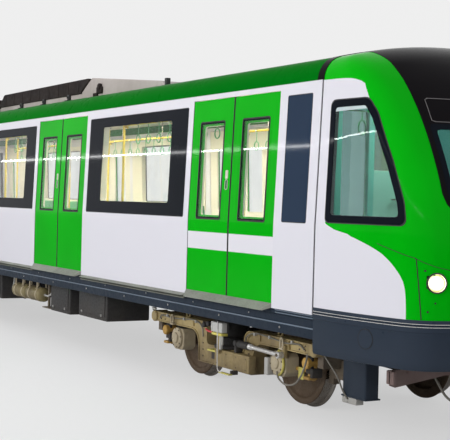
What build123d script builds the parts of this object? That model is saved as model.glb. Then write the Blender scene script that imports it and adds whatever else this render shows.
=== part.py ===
from build123d import *
from math import asin, atan, cos, degrees, hypot, radians, sin, tan
import os

os.makedirs("parts", exist_ok=True)

# A metro car with one driving cab, in millimetres: +X is forward, +Y is left, +Z is up.
# The origin lies on the ground below the middle of the car, where the wheel flanges stand.
# Driving heights are measured above the rail head and driving places ahead of the cab seam,
# the joint between saloon and cab. up() and ahead() turn them into this frame.

# Wheels and track
flange_height = 28
wheel_radius = 420
wheel_width = 135
flange_back = 680
flange_width = 33
rim_depth = 62
web_width = 34
hub_radius = 125
axle_radius = 85
journal_radius = 62
journal_reach = 145

# Whole car
saloon_length = 16900
coupler_reach = 1900
drawbar_overhang = 400
drawbar_reach = saloon_length + drawbar_overhang
seam_x = (drawbar_reach - coupler_reach) / 2


def up(height):
    return flange_height + height


def ahead(place):
    return seam_x + place


# Body shell
body_width = 2850
wall = 70
sill_height = 992
waist_height = 1760
cantrail_height = 3045
lean = 50
shoulder_radius = 230
shoulder_slope = 14
floor_top = 1060
floor_bottom = 950
floor_rebate = 55
seam_gap = 24
seam_recess = 8

# Doors: four pairs of leaves a side, evenly spread along the saloon
door_first = -1525
door_rear_margin = 1800
door_pairs = 4
door_pitch = (saloon_length + door_first - door_rear_margin) / (door_pairs - 1)
door_width = 1690
door_bottom = 1035
door_head = 55
door_top = cantrail_height - door_head
door_gap = 12
door_clearance = 5
door_recess = 6
door_thickness = 56
door_glass_inner = 170
door_glass_outer = 680
door_glass_bottom = 1775
door_glass_head = 220
door_glass_top = door_top - door_glass_head

# Windows in the saloon sides
pane_thickness = 28
pane_ledge = 45
pane_corner = 25
pane_clearance = 2
bay_margin = 107.5
big_window_width = door_pitch - door_width - 2 * bay_margin
narrow_window_width = 407
window_bottom = 1785
window_head = 105
window_top = cantrail_height - window_head

# Cab
cab_wall = 60
taper_radius = 4510
bow_radius = 3200
corner_radius = 340
bumper_top = 1061
mask_half_width = 1050
mask_bottom = 1905
mask_corner = 160
screen_half_width = 900
screen_bottom = 1985
screen_top = 2560
screen_glass = 12
screen_ledge = 35
bumper_wall = 45
bumper_bottom = 655
bumper_lip = 22
notch_half_width = 430
notch_top = 930
cab_floor_end = 1150

# Bogies
bogie_front = -2110
rear_overhang = 2790
bogie_spacing = saloon_length + bogie_front - rear_overhang
wheelbase = 2100
frame_clearance = 115
frame_inner = flange_back + wheel_width + frame_clearance
journal_end = frame_inner + journal_reach
frame_width = 160
frame_rise = 245
frame_top = wheel_radius + frame_rise
frame_bottom = 225
frame_overhang = 600
frame_reach = wheelbase / 2 + frame_overhang
pin_radius = 70
pin_clearance = 1.0
bolster_bottom = 800
spring_radius = 245
running_gap = 0.3

bogie_places = (bogie_front, bogie_front - bogie_spacing)
body_sides = ((-1, "right"), (1, "left"))
lean_angle = atan(lean / (cantrail_height - waist_height))
shoulder_turn = 90 - shoulder_slope - degrees(lean_angle)
shoulder_end_y = body_width / 2 - lean - shoulder_radius * (
    cos(lean_angle) - sin(radians(shoulder_slope))
)
shoulder_end_z = cantrail_height + shoulder_radius * (
    cos(radians(shoulder_slope)) - sin(lean_angle)
)
roof_top = shoulder_end_z + shoulder_end_y * tan(radians(shoulder_slope / 2))


def side_y(height, inset=0):
    """Half width of the saloon at a height, less an inset."""
    drop = max(0, height - waist_height) * tan(lean_angle)
    return body_width / 2 - drop - inset


def body_outline(inset=0, narrowing=0, bottom=sill_height):
    """Cross-section of the body: upright sides, leaning sides, round shoulders and crowned roof."""
    low = side_y(0, inset + narrowing)
    high = side_y(cantrail_height, inset + narrowing)
    slope = (-sin(lean_angle), cos(lean_angle))
    crown = up(roof_top - inset)
    with BuildSketch() as outline:
        with BuildLine():
            Polyline((0, up(bottom)), (low, up(bottom)), (low, up(waist_height)),
                     (high, up(cantrail_height)))
            shoulder = JernArc((high, up(cantrail_height)), slope, shoulder_radius - inset,
                               shoulder_turn)
            end = shoulder @ 1
            ThreePointArc(end, (0, crown), (-end.X, end.Y))
            JernArc((-high, up(cantrail_height)), (-slope[0], slope[1]), shoulder_radius - inset,
                    -shoulder_turn)
            Polyline((-high, up(cantrail_height)), (-low, up(waist_height)), (-low, up(bottom)),
                     (0, up(bottom)))
        make_face()
    return outline.sketch


def side_plane(side, place, height):
    """Plane on the leaning outer face of one side, with its y axis going up the wall."""
    return Plane(
        origin=(ahead(place), side * side_y(height), up(height)),
        x_dir=(-side, 0, 0),
        z_dir=(0, side * cos(lean_angle), sin(lean_angle)),
    )


def wall_band(outer, inner, bottom, top):
    """Right-hand cross-section of a wall or door between two insets, drawn at y = +."""
    with BuildSketch() as band:
        with BuildLine():
            Polyline(
                (side_y(bottom, outer), up(bottom)),
                (side_y(0, outer), up(waist_height)),
                (side_y(top, outer), up(top)),
                (side_y(top, inner), up(top)),
                (side_y(0, inner), up(waist_height)),
                (side_y(bottom, inner), up(bottom)),
                close=True,
            )
        make_face()
    return band.sketch


# Centres and widths of the windows in each side, from the cab rearwards
door_places = [door_first - pair * door_pitch for pair in range(door_pairs)]
narrow_front = -347
narrow_rear = -(saloon_length - 430)
window_places = [(narrow_front, narrow_window_width)]
for pair in range(door_pairs - 1):
    window_places.append((door_places[pair] - door_pitch / 2, big_window_width))
window_places.append((narrow_rear, narrow_window_width))
window_middle = (window_bottom + window_top) / 2
window_height = window_top - window_bottom
leaf_glass_width = door_glass_outer - door_glass_inner
leaf_glass_height = door_glass_top - door_glass_bottom
leaf_glass_middle = (door_glass_bottom + door_glass_top) / 2
leaf_width = (door_width - door_gap) / 2 - door_clearance
leaf_offset = (leaf_width + door_gap) / 2
glass_offset = (door_glass_inner + door_glass_outer) / 2

# Side walls with window rebates and door openings
for side, name in body_sides:
    section = wall_band(0, wall, sill_height, cantrail_height)
    if side < 0:
        section = section.mirror(Plane.YZ)
    with BuildPart() as side_wall:
        with BuildSketch(Plane.YZ.offset(ahead(-saloon_length))):
            add(section)
        extrude(amount=saloon_length - seam_gap / 2)
        for place, width in window_places:
            with BuildSketch(side_plane(side, place, window_middle)):
                RectangleRounded(width, window_height, pane_corner)
            extrude(amount=-pane_thickness, mode=Mode.SUBTRACT)
            with BuildSketch(side_plane(side, place, window_middle)):
                RectangleRounded(width - 2 * pane_ledge, window_height - 2 * pane_ledge, pane_corner)
            extrude(amount=-2 * wall, mode=Mode.SUBTRACT)
        for place in door_places:
            with BuildSketch(Plane.XY.offset(up(sill_height) - 1)):
                with Locations((ahead(place), side * body_width / 2)):
                    Rectangle(door_width, 6 * wall)
            extrude(amount=door_top + door_clearance - sill_height + 1, mode=Mode.SUBTRACT)
    side_wall.part.label = f"side_wall_{name}"
    export_step(side_wall.part, f"parts/side_wall_{name}.step")

# Door leaves, two to a pair, with a rebate and an opening for their glass
for side, name in body_sides:
    section = wall_band(door_recess, door_recess + door_thickness, door_bottom, door_top)
    if side < 0:
        section = section.mirror(Plane.YZ)
    with BuildPart() as doors:
        for place in door_places:
            for hand in (-1, 1):
                middle = place + hand * leaf_offset
                with BuildSketch(Plane.YZ.offset(ahead(middle - leaf_width / 2))):
                    add(section)
                extrude(amount=leaf_width)
        for place in door_places:
            for hand in (-1, 1):
                glass = side_plane(side, place + hand * glass_offset, leaf_glass_middle)
                with BuildSketch(glass):
                    RectangleRounded(leaf_glass_width, leaf_glass_height, pane_corner)
                extrude(amount=-pane_thickness, mode=Mode.SUBTRACT)
                with BuildSketch(glass):
                    RectangleRounded(leaf_glass_width - 2 * pane_ledge,
                                     leaf_glass_height - 2 * pane_ledge, pane_corner)
                extrude(amount=-2 * wall, mode=Mode.SUBTRACT)
    doors.part.label = f"doors_{name}"
    export_step(doors.part, f"parts/doors_{name}.step")

# Panes of the windows and of the door leaves, bonded into their rebates
for side, name in body_sides:
    with BuildPart() as glass:
        for place, width in window_places:
            with BuildSketch(side_plane(side, place, window_middle)):
                RectangleRounded(width - 2 * pane_clearance, window_height - 2 * pane_clearance,
                                 pane_corner)
            extrude(amount=-pane_thickness)
        for place in door_places:
            for hand in (-1, 1):
                pane = side_plane(side, place + hand * glass_offset, leaf_glass_middle)
                with BuildSketch(pane.offset(-door_recess)):
                    RectangleRounded(leaf_glass_width - 2 * pane_clearance,
                                     leaf_glass_height - 2 * pane_clearance, pane_corner)
                extrude(amount=-(pane_thickness - door_recess))
    glass.part.label = f"window_glass_{name}"
    export_step(glass.part, f"parts/window_glass_{name}.step")

# Roof shell from cantrail to cantrail
with BuildPart() as roof_shell:
    with BuildSketch(Plane.YZ.offset(ahead(-saloon_length))):
        add(body_outline())
        add(body_outline(inset=wall), mode=Mode.SUBTRACT)
        with Locations((0, up(cantrail_height) - body_width)):
            Rectangle(2 * body_width, 2 * body_width, mode=Mode.SUBTRACT)
    extrude(amount=saloon_length - seam_gap / 2)
roof_shell.part.label = "roof_shell"
export_step(roof_shell.part, "parts/roof_shell.step")

# Ceiling panel between the roof's shoulders, carried by the roof
ceiling_rise = 105
ceiling_height = cantrail_height + ceiling_rise
ceiling_thickness = 25
ceiling_end = 690
with BuildPart() as ceiling:
    with BuildSketch(Plane.YZ.offset(ahead(-saloon_length + wall))):
        add(body_outline(inset=wall + running_gap))
        with Locations((0, up(ceiling_height) - body_width)):
            Rectangle(2 * body_width, 2 * body_width, mode=Mode.SUBTRACT)
        with Locations((0, up(ceiling_height + ceiling_thickness) + body_width)):
            Rectangle(2 * body_width, 2 * body_width, mode=Mode.SUBTRACT)
    extrude(amount=saloon_length - wall - ceiling_end)
ceiling.part.label = "ceiling"
export_step(ceiling.part, "parts/ceiling.step")

# Rear end wall with the gangway doorway
gangway_half_width = 600
gangway_head = 45
gangway_top = cantrail_height - gangway_head
with BuildPart() as rear_end_wall:
    with BuildSketch(Plane.YZ.offset(ahead(-saloon_length))):
        add(body_outline(inset=wall, bottom=floor_top))
        with Locations((0, (up(floor_top) + up(gangway_top)) / 2)):
            Rectangle(2 * gangway_half_width, gangway_top - floor_top, mode=Mode.SUBTRACT)
    extrude(amount=wall)
rear_end_wall.part.label = "rear_end_wall"
export_step(rear_end_wall.part, "parts/rear_end_wall.step")

# Gangway: a folded bellows round the doorway, with the frame that meets the next car
fold_count = 4
fold_pitch = 62
fold_depth = 45
bellows_wall = 60
gangway_frame = 50
gangway_floor = floor_bottom
with BuildPart() as gangway:
    for fold in range(fold_count):
        for grow, share in ((0, 0), (fold_depth, 0.5)):
            start = -saloon_length - (fold + share) * fold_pitch
            half = gangway_half_width + bellows_wall + grow
            top = gangway_top + bellows_wall + grow
            with BuildSketch(Plane.YZ.offset(ahead(start))):
                with Locations((0, (up(gangway_floor) + up(top)) / 2)):
                    RectangleRounded(2 * half, top - gangway_floor, 2 * bellows_wall)
            extrude(amount=-fold_pitch / 2)
    frame_start = -saloon_length - fold_count * fold_pitch
    half = gangway_half_width + bellows_wall
    with BuildSketch(Plane.YZ.offset(ahead(frame_start))):
        with Locations((0, (up(gangway_floor) + up(gangway_top + bellows_wall)) / 2)):
            RectangleRounded(2 * half, gangway_top + bellows_wall - gangway_floor, 2 * bellows_wall)
    extrude(amount=-gangway_frame)
    with BuildSketch(Plane.YZ.offset(ahead(-saloon_length))):
        with Locations((0, (up(floor_top) + up(gangway_top)) / 2)):
            Rectangle(2 * gangway_half_width, gangway_top - floor_top)
    extrude(amount=-2 * fold_count * fold_pitch, mode=Mode.SUBTRACT)
gangway.part.label = "gangway"
export_step(gangway.part, "parts/gangway.step")

# Cab forms. The first sections run along the car and give sides, shoulders and roof.
# The second sections are level and give the bowed, raked nose with its round corners.
side_stations = (0, 330, 650, 960, 1260, 1560)
nose_levels = (
    # height, nose place on the centre line
    (600, 1480),
    (1905, 1465),
    (cantrail_height - 795, 1345),
    (cantrail_height - 445, 1175),
    (cantrail_height - 145, 980),
    (cantrail_height + 85, 770),
    (cantrail_height + 255, 520),
    (cantrail_height + 385, 230),
)
nose_margin = 3
nose_back = 900
nose_end = 1700
bumper_nose = nose_levels[0][1]


def cab_narrowing(place):
    """How far the cab's side has drawn in at a place, along an arc tangent to the saloon's side."""
    return taper_radius - (taper_radius ** 2 - place ** 2) ** 0.5


def nose_outline(nose, inset, grow=0):
    """Level outline of the cab: bowed front, round corners, and sides that draw in."""
    half = body_width / 2 - inset + grow
    back_half = half - cab_narrowing(nose_back)
    end_half = half - cab_narrowing(nose_end)
    with BuildSketch() as outline:
        with BuildLine():
            ThreePointArc((-nose_back, back_half), (0, half), (nose_end, end_half))
            Line((nose_end, end_half), (nose_end, -end_half))
            ThreePointArc((nose_end, -end_half), (0, -half), (-nose_back, -back_half))
            Line((-nose_back, -back_half), (-nose_back, back_half))
        make_face()
        with Locations((nose - inset - bow_radius, 0)):
            Circle(bow_radius, mode=Mode.INTERSECT)
        fillet(outline.vertices().sort_by(Axis.X)[-2:], corner_radius - inset)
    return outline.sketch


def cab_form(inset):
    """Solid form of the whole cab, drawn in by an inset."""
    with BuildPart() as hull:
        for place in side_stations:
            with BuildSketch(Plane.YZ.offset(ahead(place))):
                add(body_outline(inset, cab_narrowing(place), bumper_bottom))
        loft(ruled=True)
    with BuildPart() as nose:
        for height, place in nose_levels:
            with BuildSketch(Plane.XY.offset(up(height))):
                with Locations((ahead(0), 0)):
                    add(nose_outline(place, inset, nose_margin))
        loft(ruled=True)
        add(hull.part, mode=Mode.INTERSECT)
    return nose.part


def front_view(half_width, bottom, top, corner):
    """Upright rounded outline, seen from the front."""
    with BuildSketch() as view:
        with Locations((0, (up(bottom) + up(top)) / 2)):
            RectangleRounded(2 * half_width, top - bottom, corner)
    return view.sketch


# Side window of the cab: its corners on the outer face, seen square from the side
cab_window_bottom = 1808
cab_window_head = 197
cab_window_height = cantrail_height - cab_window_head - cab_window_bottom
cab_window = (
    # place, share of the window's height
    (150, 0),
    (150, 1),
    (614, 1),
    (720, 0.877),
    (833, 0.656),
    (921, 0.484),
    (1000, 0.298),
    (1050, 0.175),
    (1081, 0),
)
cab_window_corner = 50
cab_window_ledge = 40


def cab_window_view(ledge):
    """Outline of the cab's side window, drawn in by a ledge."""
    corners = [(ahead(place), up(cab_window_bottom + share * cab_window_height))
               for place, share in cab_window]
    with BuildSketch() as view:
        with BuildLine():
            FilletPolyline(*corners, radius=cab_window_corner, close=True)
        make_face()
        if ledge:
            offset(amount=-ledge, mode=Mode.REPLACE)
    return view.sketch


cab_outer = cab_form(0)
cab_inner = cab_form(cab_wall)
cab_glass_back = cab_form(screen_glass)
mask_top = 2 * roof_top - mask_bottom
front_plane = Plane.YZ.offset(ahead(seam_gap / 2))
lamp_height = 1359
lamp_radius = 72
lamp_angle = 24
lamp_depth = 42
lamp_clearance = 1
lamp_proud = 5


def nose_at(height):
    """Nose place on the centre line at a height, on the straight run between two levels."""
    for (low, first), (high, second) in zip(nose_levels, nose_levels[1:]):
        if low <= height <= high:
            return first + (second - first) * (height - low) / (high - low)
    return bumper_nose


def corner_middle(nose):
    """Centre of the nose's left corner: its circle lies inside the front's bow and the side's arc."""
    bow_x = nose - bow_radius
    side_middle = body_width / 2 - taper_radius
    span = hypot(bow_x, side_middle)
    from_bow = bow_radius - corner_radius
    from_side = taper_radius - corner_radius
    along = (from_bow ** 2 - from_side ** 2 + span ** 2) / (2 * span)
    across = (from_bow ** 2 - along ** 2) ** 0.5
    step_x = -bow_x / span
    step_y = side_middle / span
    return bow_x + along * step_x - across * step_y, along * step_y + across * step_x


def lamp_plane(side):
    """Plane square to the nose's round corner, at the middle of a lamp."""
    middle_x, middle_y = corner_middle(nose_at(lamp_height))
    forward = cos(radians(lamp_angle))
    outward = sin(radians(lamp_angle))
    return Plane(
        origin=(ahead(middle_x + corner_radius * forward),
                side * (middle_y + corner_radius * outward), up(lamp_height)),
        x_dir=(0, 0, 1),
        z_dir=(forward, side * outward, 0),
    )


# What the glass takes out of the cab's skin
with BuildPart() as glass_rebates:
    with BuildSketch(front_plane):
        add(front_view(screen_half_width, screen_bottom, screen_top, pane_corner))
    extrude(amount=body_width)
    with BuildSketch(Plane.XZ):
        add(cab_window_view(0))
    extrude(amount=body_width, both=True)
    add(cab_glass_back, mode=Mode.SUBTRACT)

# Cab shell: sides and lower front, above the bumper and beside the mask
with BuildPart() as cab_shell:
    add(cab_outer)
    add(cab_inner, mode=Mode.SUBTRACT)
    with BuildSketch(Plane.XY.offset(up(bumper_top))):
        with Locations((ahead(0), 0)):
            Rectangle(4 * body_width, 2 * body_width)
    extrude(amount=-body_width, mode=Mode.SUBTRACT)
    with BuildSketch(front_plane):
        Rectangle(4 * body_width, 4 * body_width)
    extrude(amount=-body_width, mode=Mode.SUBTRACT)
    with BuildSketch(front_plane):
        add(front_view(mask_half_width, mask_bottom, mask_top, mask_corner))
    extrude(amount=body_width, mode=Mode.SUBTRACT)
    add(glass_rebates.part, mode=Mode.SUBTRACT)
    with BuildSketch(Plane.XZ):
        add(cab_window_view(cab_window_ledge))
    extrude(amount=body_width, both=True, mode=Mode.SUBTRACT)
    for side, name in body_sides:
        with BuildSketch(lamp_plane(side)):
            Circle(lamp_radius + lamp_clearance)
        extrude(amount=-lamp_depth - lamp_clearance, mode=Mode.SUBTRACT)
        with BuildSketch(lamp_plane(side)):
            Circle(lamp_radius + lamp_clearance)
        extrude(amount=lamp_radius, mode=Mode.SUBTRACT)
cab_shell.part.label = "cab_shell"
export_step(cab_shell.part, "parts/cab_shell.step")

# Black mask over the front and the cab roof, with the windscreen's opening
with BuildPart() as cab_mask:
    add(cab_outer)
    add(cab_inner, mode=Mode.SUBTRACT)
    with BuildSketch(front_plane):
        add(front_view(mask_half_width, mask_bottom, mask_top, mask_corner))
    extrude(amount=body_width, mode=Mode.INTERSECT)
    add(glass_rebates.part, mode=Mode.SUBTRACT)
    with BuildSketch(front_plane):
        add(front_view(screen_half_width - screen_ledge, screen_bottom + screen_ledge,
                       screen_top - screen_ledge, pane_corner))
    extrude(amount=body_width, mode=Mode.SUBTRACT)
cab_mask.part.label = "cab_mask"
export_step(cab_mask.part, "parts/cab_mask.step")

# Windscreen and cab side panes, bonded into their rebates
with BuildPart() as cab_glass:
    with BuildSketch(front_plane):
        add(front_view(screen_half_width - pane_clearance, screen_bottom + pane_clearance,
                       screen_top - pane_clearance, pane_corner))
    extrude(amount=body_width)
    with BuildSketch(Plane.XZ):
        add(cab_window_view(pane_clearance))
    extrude(amount=body_width, both=True)
    add(cab_outer, mode=Mode.INTERSECT)
    add(cab_glass_back, mode=Mode.SUBTRACT)
cab_glass.part.label = "cab_glass"
export_step(cab_glass.part, "parts/cab_glass.step")

# Headlamps in the lower front's round corners
with BuildPart() as headlights:
    for side, name in body_sides:
        with BuildSketch(lamp_plane(side).offset(-lamp_depth)):
            Circle(lamp_radius)
        extrude(amount=lamp_depth + lamp_proud)
headlights.part.label = "headlights"
export_step(headlights.part, "parts/headlights.step")

# Bumper skirt below the cab, with a groove under its top lip and a notch for the coupler
with BuildPart() as cab_bumper:
    with BuildSketch(Plane.XY.offset(up(bumper_bottom))):
        with Locations((ahead(0), 0)):
            add(nose_outline(bumper_nose, 0))
            add(nose_outline(bumper_nose, bumper_wall), mode=Mode.SUBTRACT)
    extrude(amount=bumper_top - bumper_bottom)
    with BuildPart(mode=Mode.PRIVATE) as groove:
        with BuildSketch(Plane.XY.offset(up(bumper_top - 2 * bumper_lip))):
            with Locations((ahead(0), 0)):
                add(nose_outline(bumper_nose, -bumper_lip))
                add(nose_outline(bumper_nose, bumper_lip / 2), mode=Mode.SUBTRACT)
        extrude(amount=bumper_lip)
    add(groove.part, mode=Mode.SUBTRACT)
    with BuildSketch(front_plane):
        Rectangle(4 * body_width, 4 * body_width)
    extrude(amount=-body_width, mode=Mode.SUBTRACT)
    with BuildSketch(Plane.YZ.offset(ahead(cab_floor_end))):
        with Locations((0, up(notch_top) - body_width / 2)):
            Rectangle(2 * notch_half_width, body_width)
    extrude(amount=body_width, mode=Mode.SUBTRACT)
cab_bumper.part.label = "cab_bumper"
export_step(cab_bumper.part, "parts/cab_bumper.step")

# Rubber seal in the joint between saloon and cab
with BuildPart() as cab_seam_seal:
    with BuildSketch(Plane.YZ.offset(ahead(-seam_gap / 2))):
        add(body_outline(inset=seam_recess))
        add(body_outline(inset=cab_wall), mode=Mode.SUBTRACT)
    extrude(amount=seam_gap)
cab_seam_seal.part.label = "cab_seam_seal"
export_step(cab_seam_seal.part, "parts/cab_seam_seal.step")

# Floor: a flat deck between the walls, carried on into the cab, with two centre sills between
# the bogies and their cross ribs
sill_offset = 110
sill_width = 60
sill_drop = 130
rib_count = 9
rib_width = 50
rib_half = 250
bay_margin_x = 800
bay_front = bogie_front - wheelbase / 2 - bay_margin_x
bay_length = bogie_spacing - wheelbase - 2 * bay_margin_x
deck_half = body_width / 2 - wall
deck_low_half = deck_half - floor_rebate
with BuildPart() as underframe:
    with BuildSketch(Plane.YZ.offset(ahead(-saloon_length))):
        with Locations((0, (up(sill_height) + up(floor_top)) / 2)):
            Rectangle(2 * deck_half, floor_top - sill_height)
        with Locations((0, (up(floor_bottom) + up(sill_height)) / 2)):
            Rectangle(2 * deck_low_half, sill_height - floor_bottom)
    extrude(amount=saloon_length + seam_gap / 2)
    with BuildSketch(Plane.XY.offset(up(floor_bottom))):
        with Locations((ahead(0), 0)):
            add(nose_outline(bumper_nose, bumper_wall + running_gap))
        with Locations((ahead(seam_gap / 2) - body_width, 0)):
            Rectangle(2 * body_width, 2 * body_width, mode=Mode.SUBTRACT)
        with Locations((ahead(cab_floor_end) + body_width, 0)):
            Rectangle(2 * body_width, 2 * body_width, mode=Mode.SUBTRACT)
    extrude(amount=floor_top - floor_bottom)
    with BuildSketch(Plane.XY.offset(up(floor_bottom))):
        for hand in (-1, 1):
            with Locations((ahead(bay_front - bay_length / 2), hand * sill_offset)):
                Rectangle(bay_length, sill_width)
        for rib in range(rib_count):
            with Locations((ahead(bay_front - (rib + 0.5) * bay_length / rib_count), 0)):
                Rectangle(rib_width, 2 * rib_half)
    extrude(amount=-sill_drop)
underframe.part.label = "underframe"
export_step(underframe.part, "parts/underframe.step")

# Sole bars along both sides, with a ridge and a top lip
sole_inner = deck_low_half
sole_inset = 33
sole_outer = body_width / 2 - sole_inset
sole_bottom = 770
ridge_height = 868
ridge_depth = 10
lip_height = 950
lip_depth = 14
with BuildPart() as sole_bars:
    for side, name in body_sides:
        with BuildSketch(Plane.YZ.offset(ahead(-saloon_length))):
            with BuildLine():
                Polyline(
                    (side * sole_inner, up(sole_bottom)),
                    (side * (sole_outer - ridge_depth), up(sole_bottom)),
                    (side * sole_outer, up(ridge_height - ridge_depth)),
                    (side * sole_outer, up(ridge_height)),
                    (side * (sole_outer - ridge_depth), up(ridge_height + ridge_depth)),
                    (side * (sole_outer - ridge_depth), up(lip_height - lip_depth)),
                    (side * (sole_outer + lip_depth), up(lip_height)),
                    (side * (sole_outer + lip_depth), up(sill_height)),
                    (side * sole_inner, up(sill_height)),
                    close=True,
                )
            make_face()
        extrude(amount=saloon_length)
sole_bars.part.label = "sole_bars"
export_step(sole_bars.part, "parts/sole_bars.step")

# Sloping threshold plates under the doors and slim double strips between them
plate_rise = 70
plate_reach = 75
plate_tail = 18
strip_reach = 36
strip_drop = 26
slim_strip = 14
strip_length = door_pitch - door_width - 2 * plate_tail
with BuildPart() as step_plates:
    for side, name in body_sides:
        inner = side * deck_half
        outer = side * body_width / 2
        lip = side * (sole_outer + lip_depth)
        for place in door_places:
            with BuildSketch(Plane.YZ.offset(ahead(place - door_width / 2 + door_clearance))):
                with BuildLine():
                    Polyline(
                        (inner, up(sill_height)),
                        (inner, up(door_bottom)),
                        (outer, up(door_bottom)),
                        (outer + side * plate_reach, up(door_bottom - plate_rise)),
                        (outer + side * (plate_reach - plate_tail), up(door_bottom - plate_rise)),
                        (outer, up(sill_height)),
                        close=True,
                    )
                make_face()
            extrude(amount=door_width - 2 * door_clearance)
            for hand in (-1, 1):
                end = ahead(place + hand * (door_width / 2 - door_clearance))
                far = outer + 2 * side * plate_reach
                with BuildSketch(Plane.XY.offset(up(sill_height - plate_rise))):
                    with BuildLine():
                        Polyline((end, outer), (end, far), (end - 2 * hand * plate_reach, far),
                                 close=True)
                    make_face()
                extrude(amount=2 * plate_rise, mode=Mode.SUBTRACT)
        for place in door_places[:-1]:
            strips = Plane.YZ.offset(ahead(place - door_pitch / 2 - strip_length / 2))
            with BuildSketch(strips):
                with BuildLine():
                    Polyline(
                        (lip, up(sill_height)),
                        (outer, up(sill_height)),
                        (outer + side * strip_reach, up(sill_height - strip_drop)),
                        (lip, up(sill_height - slim_strip)),
                        close=True,
                    )
                make_face()
            extrude(amount=strip_length)
            with BuildSketch(strips):
                with BuildLine():
                    Polyline(
                        (lip, up(lip_height + slim_strip)),
                        (lip + side * strip_reach, up(lip_height - slim_strip / 2)),
                        (lip + side * strip_reach, up(lip_height - slim_strip)),
                        (lip, up(lip_height)),
                        close=True,
                    )
                make_face()
            extrude(amount=strip_length)
step_plates.part.label = "step_plates"
export_step(step_plates.part, "parts/step_plates.step")

# Bolsters across the floor's underside, each with the pin that its bogie turns on
bolster_half_length = 300
bolster_margin = 100
bolster_half_width = deck_low_half - bolster_margin
pin_bottom = 340
with BuildPart() as bolsters:
    for place in bogie_places:
        with BuildSketch(Plane.XY.offset(up(bolster_bottom))):
            with Locations((ahead(place), 0)):
                Rectangle(2 * bolster_half_length, 2 * bolster_half_width)
        extrude(amount=floor_bottom - bolster_bottom)
        with BuildSketch(Plane.XY.offset(up(pin_bottom))):
            with Locations((ahead(place), 0)):
                Circle(pin_radius)
        extrude(amount=bolster_bottom - pin_bottom)
bolsters.part.label = "bolsters"
export_step(bolsters.part, "parts/bolsters.step")

# Wheelset: axle and both wheels as one turned piece
tread_slope = 1 / 20
tread_end = flange_back + wheel_width
tread_fall = (wheel_width - flange_width) * tread_slope
rim_inner = wheel_radius - rim_depth
web_middle = flange_back + wheel_width / 2
web_foot = hub_radius + 40
web_head = rim_inner - 30


def half_wheelset():
    """One half's profile: distance from the car's middle along x, radius along y."""
    with BuildSketch() as profile:
        with BuildLine():
            Polyline(
                (0, 0),
                (0, axle_radius),
                (flange_back - 30, axle_radius),
                (flange_back - 10, hub_radius),
                (web_middle - web_width, hub_radius),
                (web_middle - web_width / 2, web_foot),
                (web_middle + web_width / 2, web_head),
                (flange_back, rim_inner),
                (flange_back, wheel_radius + flange_height - 12),
                (flange_back + 10, wheel_radius + flange_height),
                (flange_back + 20, wheel_radius + flange_height - 4),
                (flange_back + flange_width, wheel_radius),
                (tread_end - 8, wheel_radius - tread_fall),
                (tread_end, wheel_radius - tread_fall - 8),
                (tread_end, rim_inner),
                (web_middle + 1.5 * web_width, web_head),
                (web_middle + web_width / 2, web_foot),
                (web_middle + web_width, hub_radius),
                (tread_end + 10, hub_radius),
                (tread_end + 30, axle_radius),
                (frame_inner - 20, axle_radius),
                (frame_inner - 10, journal_radius),
                (journal_end, journal_radius),
                (journal_end, 0),
                close=True,
            )
        make_face()
    return profile.sketch


axle_places = []
for place in bogie_places:
    for hand in (1, -1):
        axle_places.append(place + hand * wheelbase / 2)
for number, place in enumerate(axle_places, start=1):
    middle = (ahead(place), 0, up(wheel_radius))
    with BuildPart() as wheelset:
        with BuildSketch(Plane(origin=middle, x_dir=(0, 1, 0), z_dir=(1, 0, 0))):
            add(half_wheelset())
            add(half_wheelset().mirror(Plane.YZ))
        revolve(axis=Axis(middle, (0, 1, 0)))
    wheelset.part.label = f"wheelset_{number}"
    export_step(wheelset.part, f"parts/wheelset_{number}.step")

# Bogies
transom_place = 230
transom_radius = 70
transom_height = 350
pivot_block_half = 200
pivot_block_bottom = 330
pivot_block_top = 520
beam_low_top = 430
beam_arch = wheel_radius + 135
leg_outer = 575
leg_inner = 410
arch_radius = 190
bend_radius = 90
crest_radius = 200
end_tube_height = wheel_radius + 190
end_tube_radius = 45
end_radius = 65
eye_place = 960
eye_radius = 48
eye_bore = 24
eye_width = 30
box_half_width = 130
box_top = wheel_radius + 105
box_bottom = wheel_radius - 130
box_chamfer = 45
cover_radius = 112
cover_depth = 35
cap_radius = 60
cap_depth = 14
step_box_front = 650
step_box_back = -60
step_box_bottom = 250
step_box_depth = 90
step_box_edge = 12
motor_reach = 340
motor_place = transom_place + motor_reach
motor_height = wheel_radius - 20
motor_radius = 180
motor_half_length = 300
motor_bracket = 200
motor_ribs = 5
rib_depth = 12
rib_thickness = 18
gear_middle = 480
gear_half_width = 65
gear_radius = 170
gear_small_radius = 130
motor_neck = 60
axle_clearance = 0.3
gear_clearance = 3
shoe_gap = 8
shoe_depth = 60
shoe_half_height = 150
brake_depth = 175
brake_width = 100
shoe_width = 80
brake_half_height = 90
hanger_width = 90
frame_outer = frame_inner + frame_width
beam_middle = frame_inner + frame_width / 2
damper_radius = 30
damper_rod = 18
damper_height = 500
damper_bracket = 45
damper_start = 500
damper_body = 270
damper_length = 420
bracket_height = beam_arch + 40 - damper_height + damper_radius


def upright(y):
    """Plane across the car at y, seen from the right, so that extrusions go to the right."""
    return Plane.XZ.offset(-y)


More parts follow.
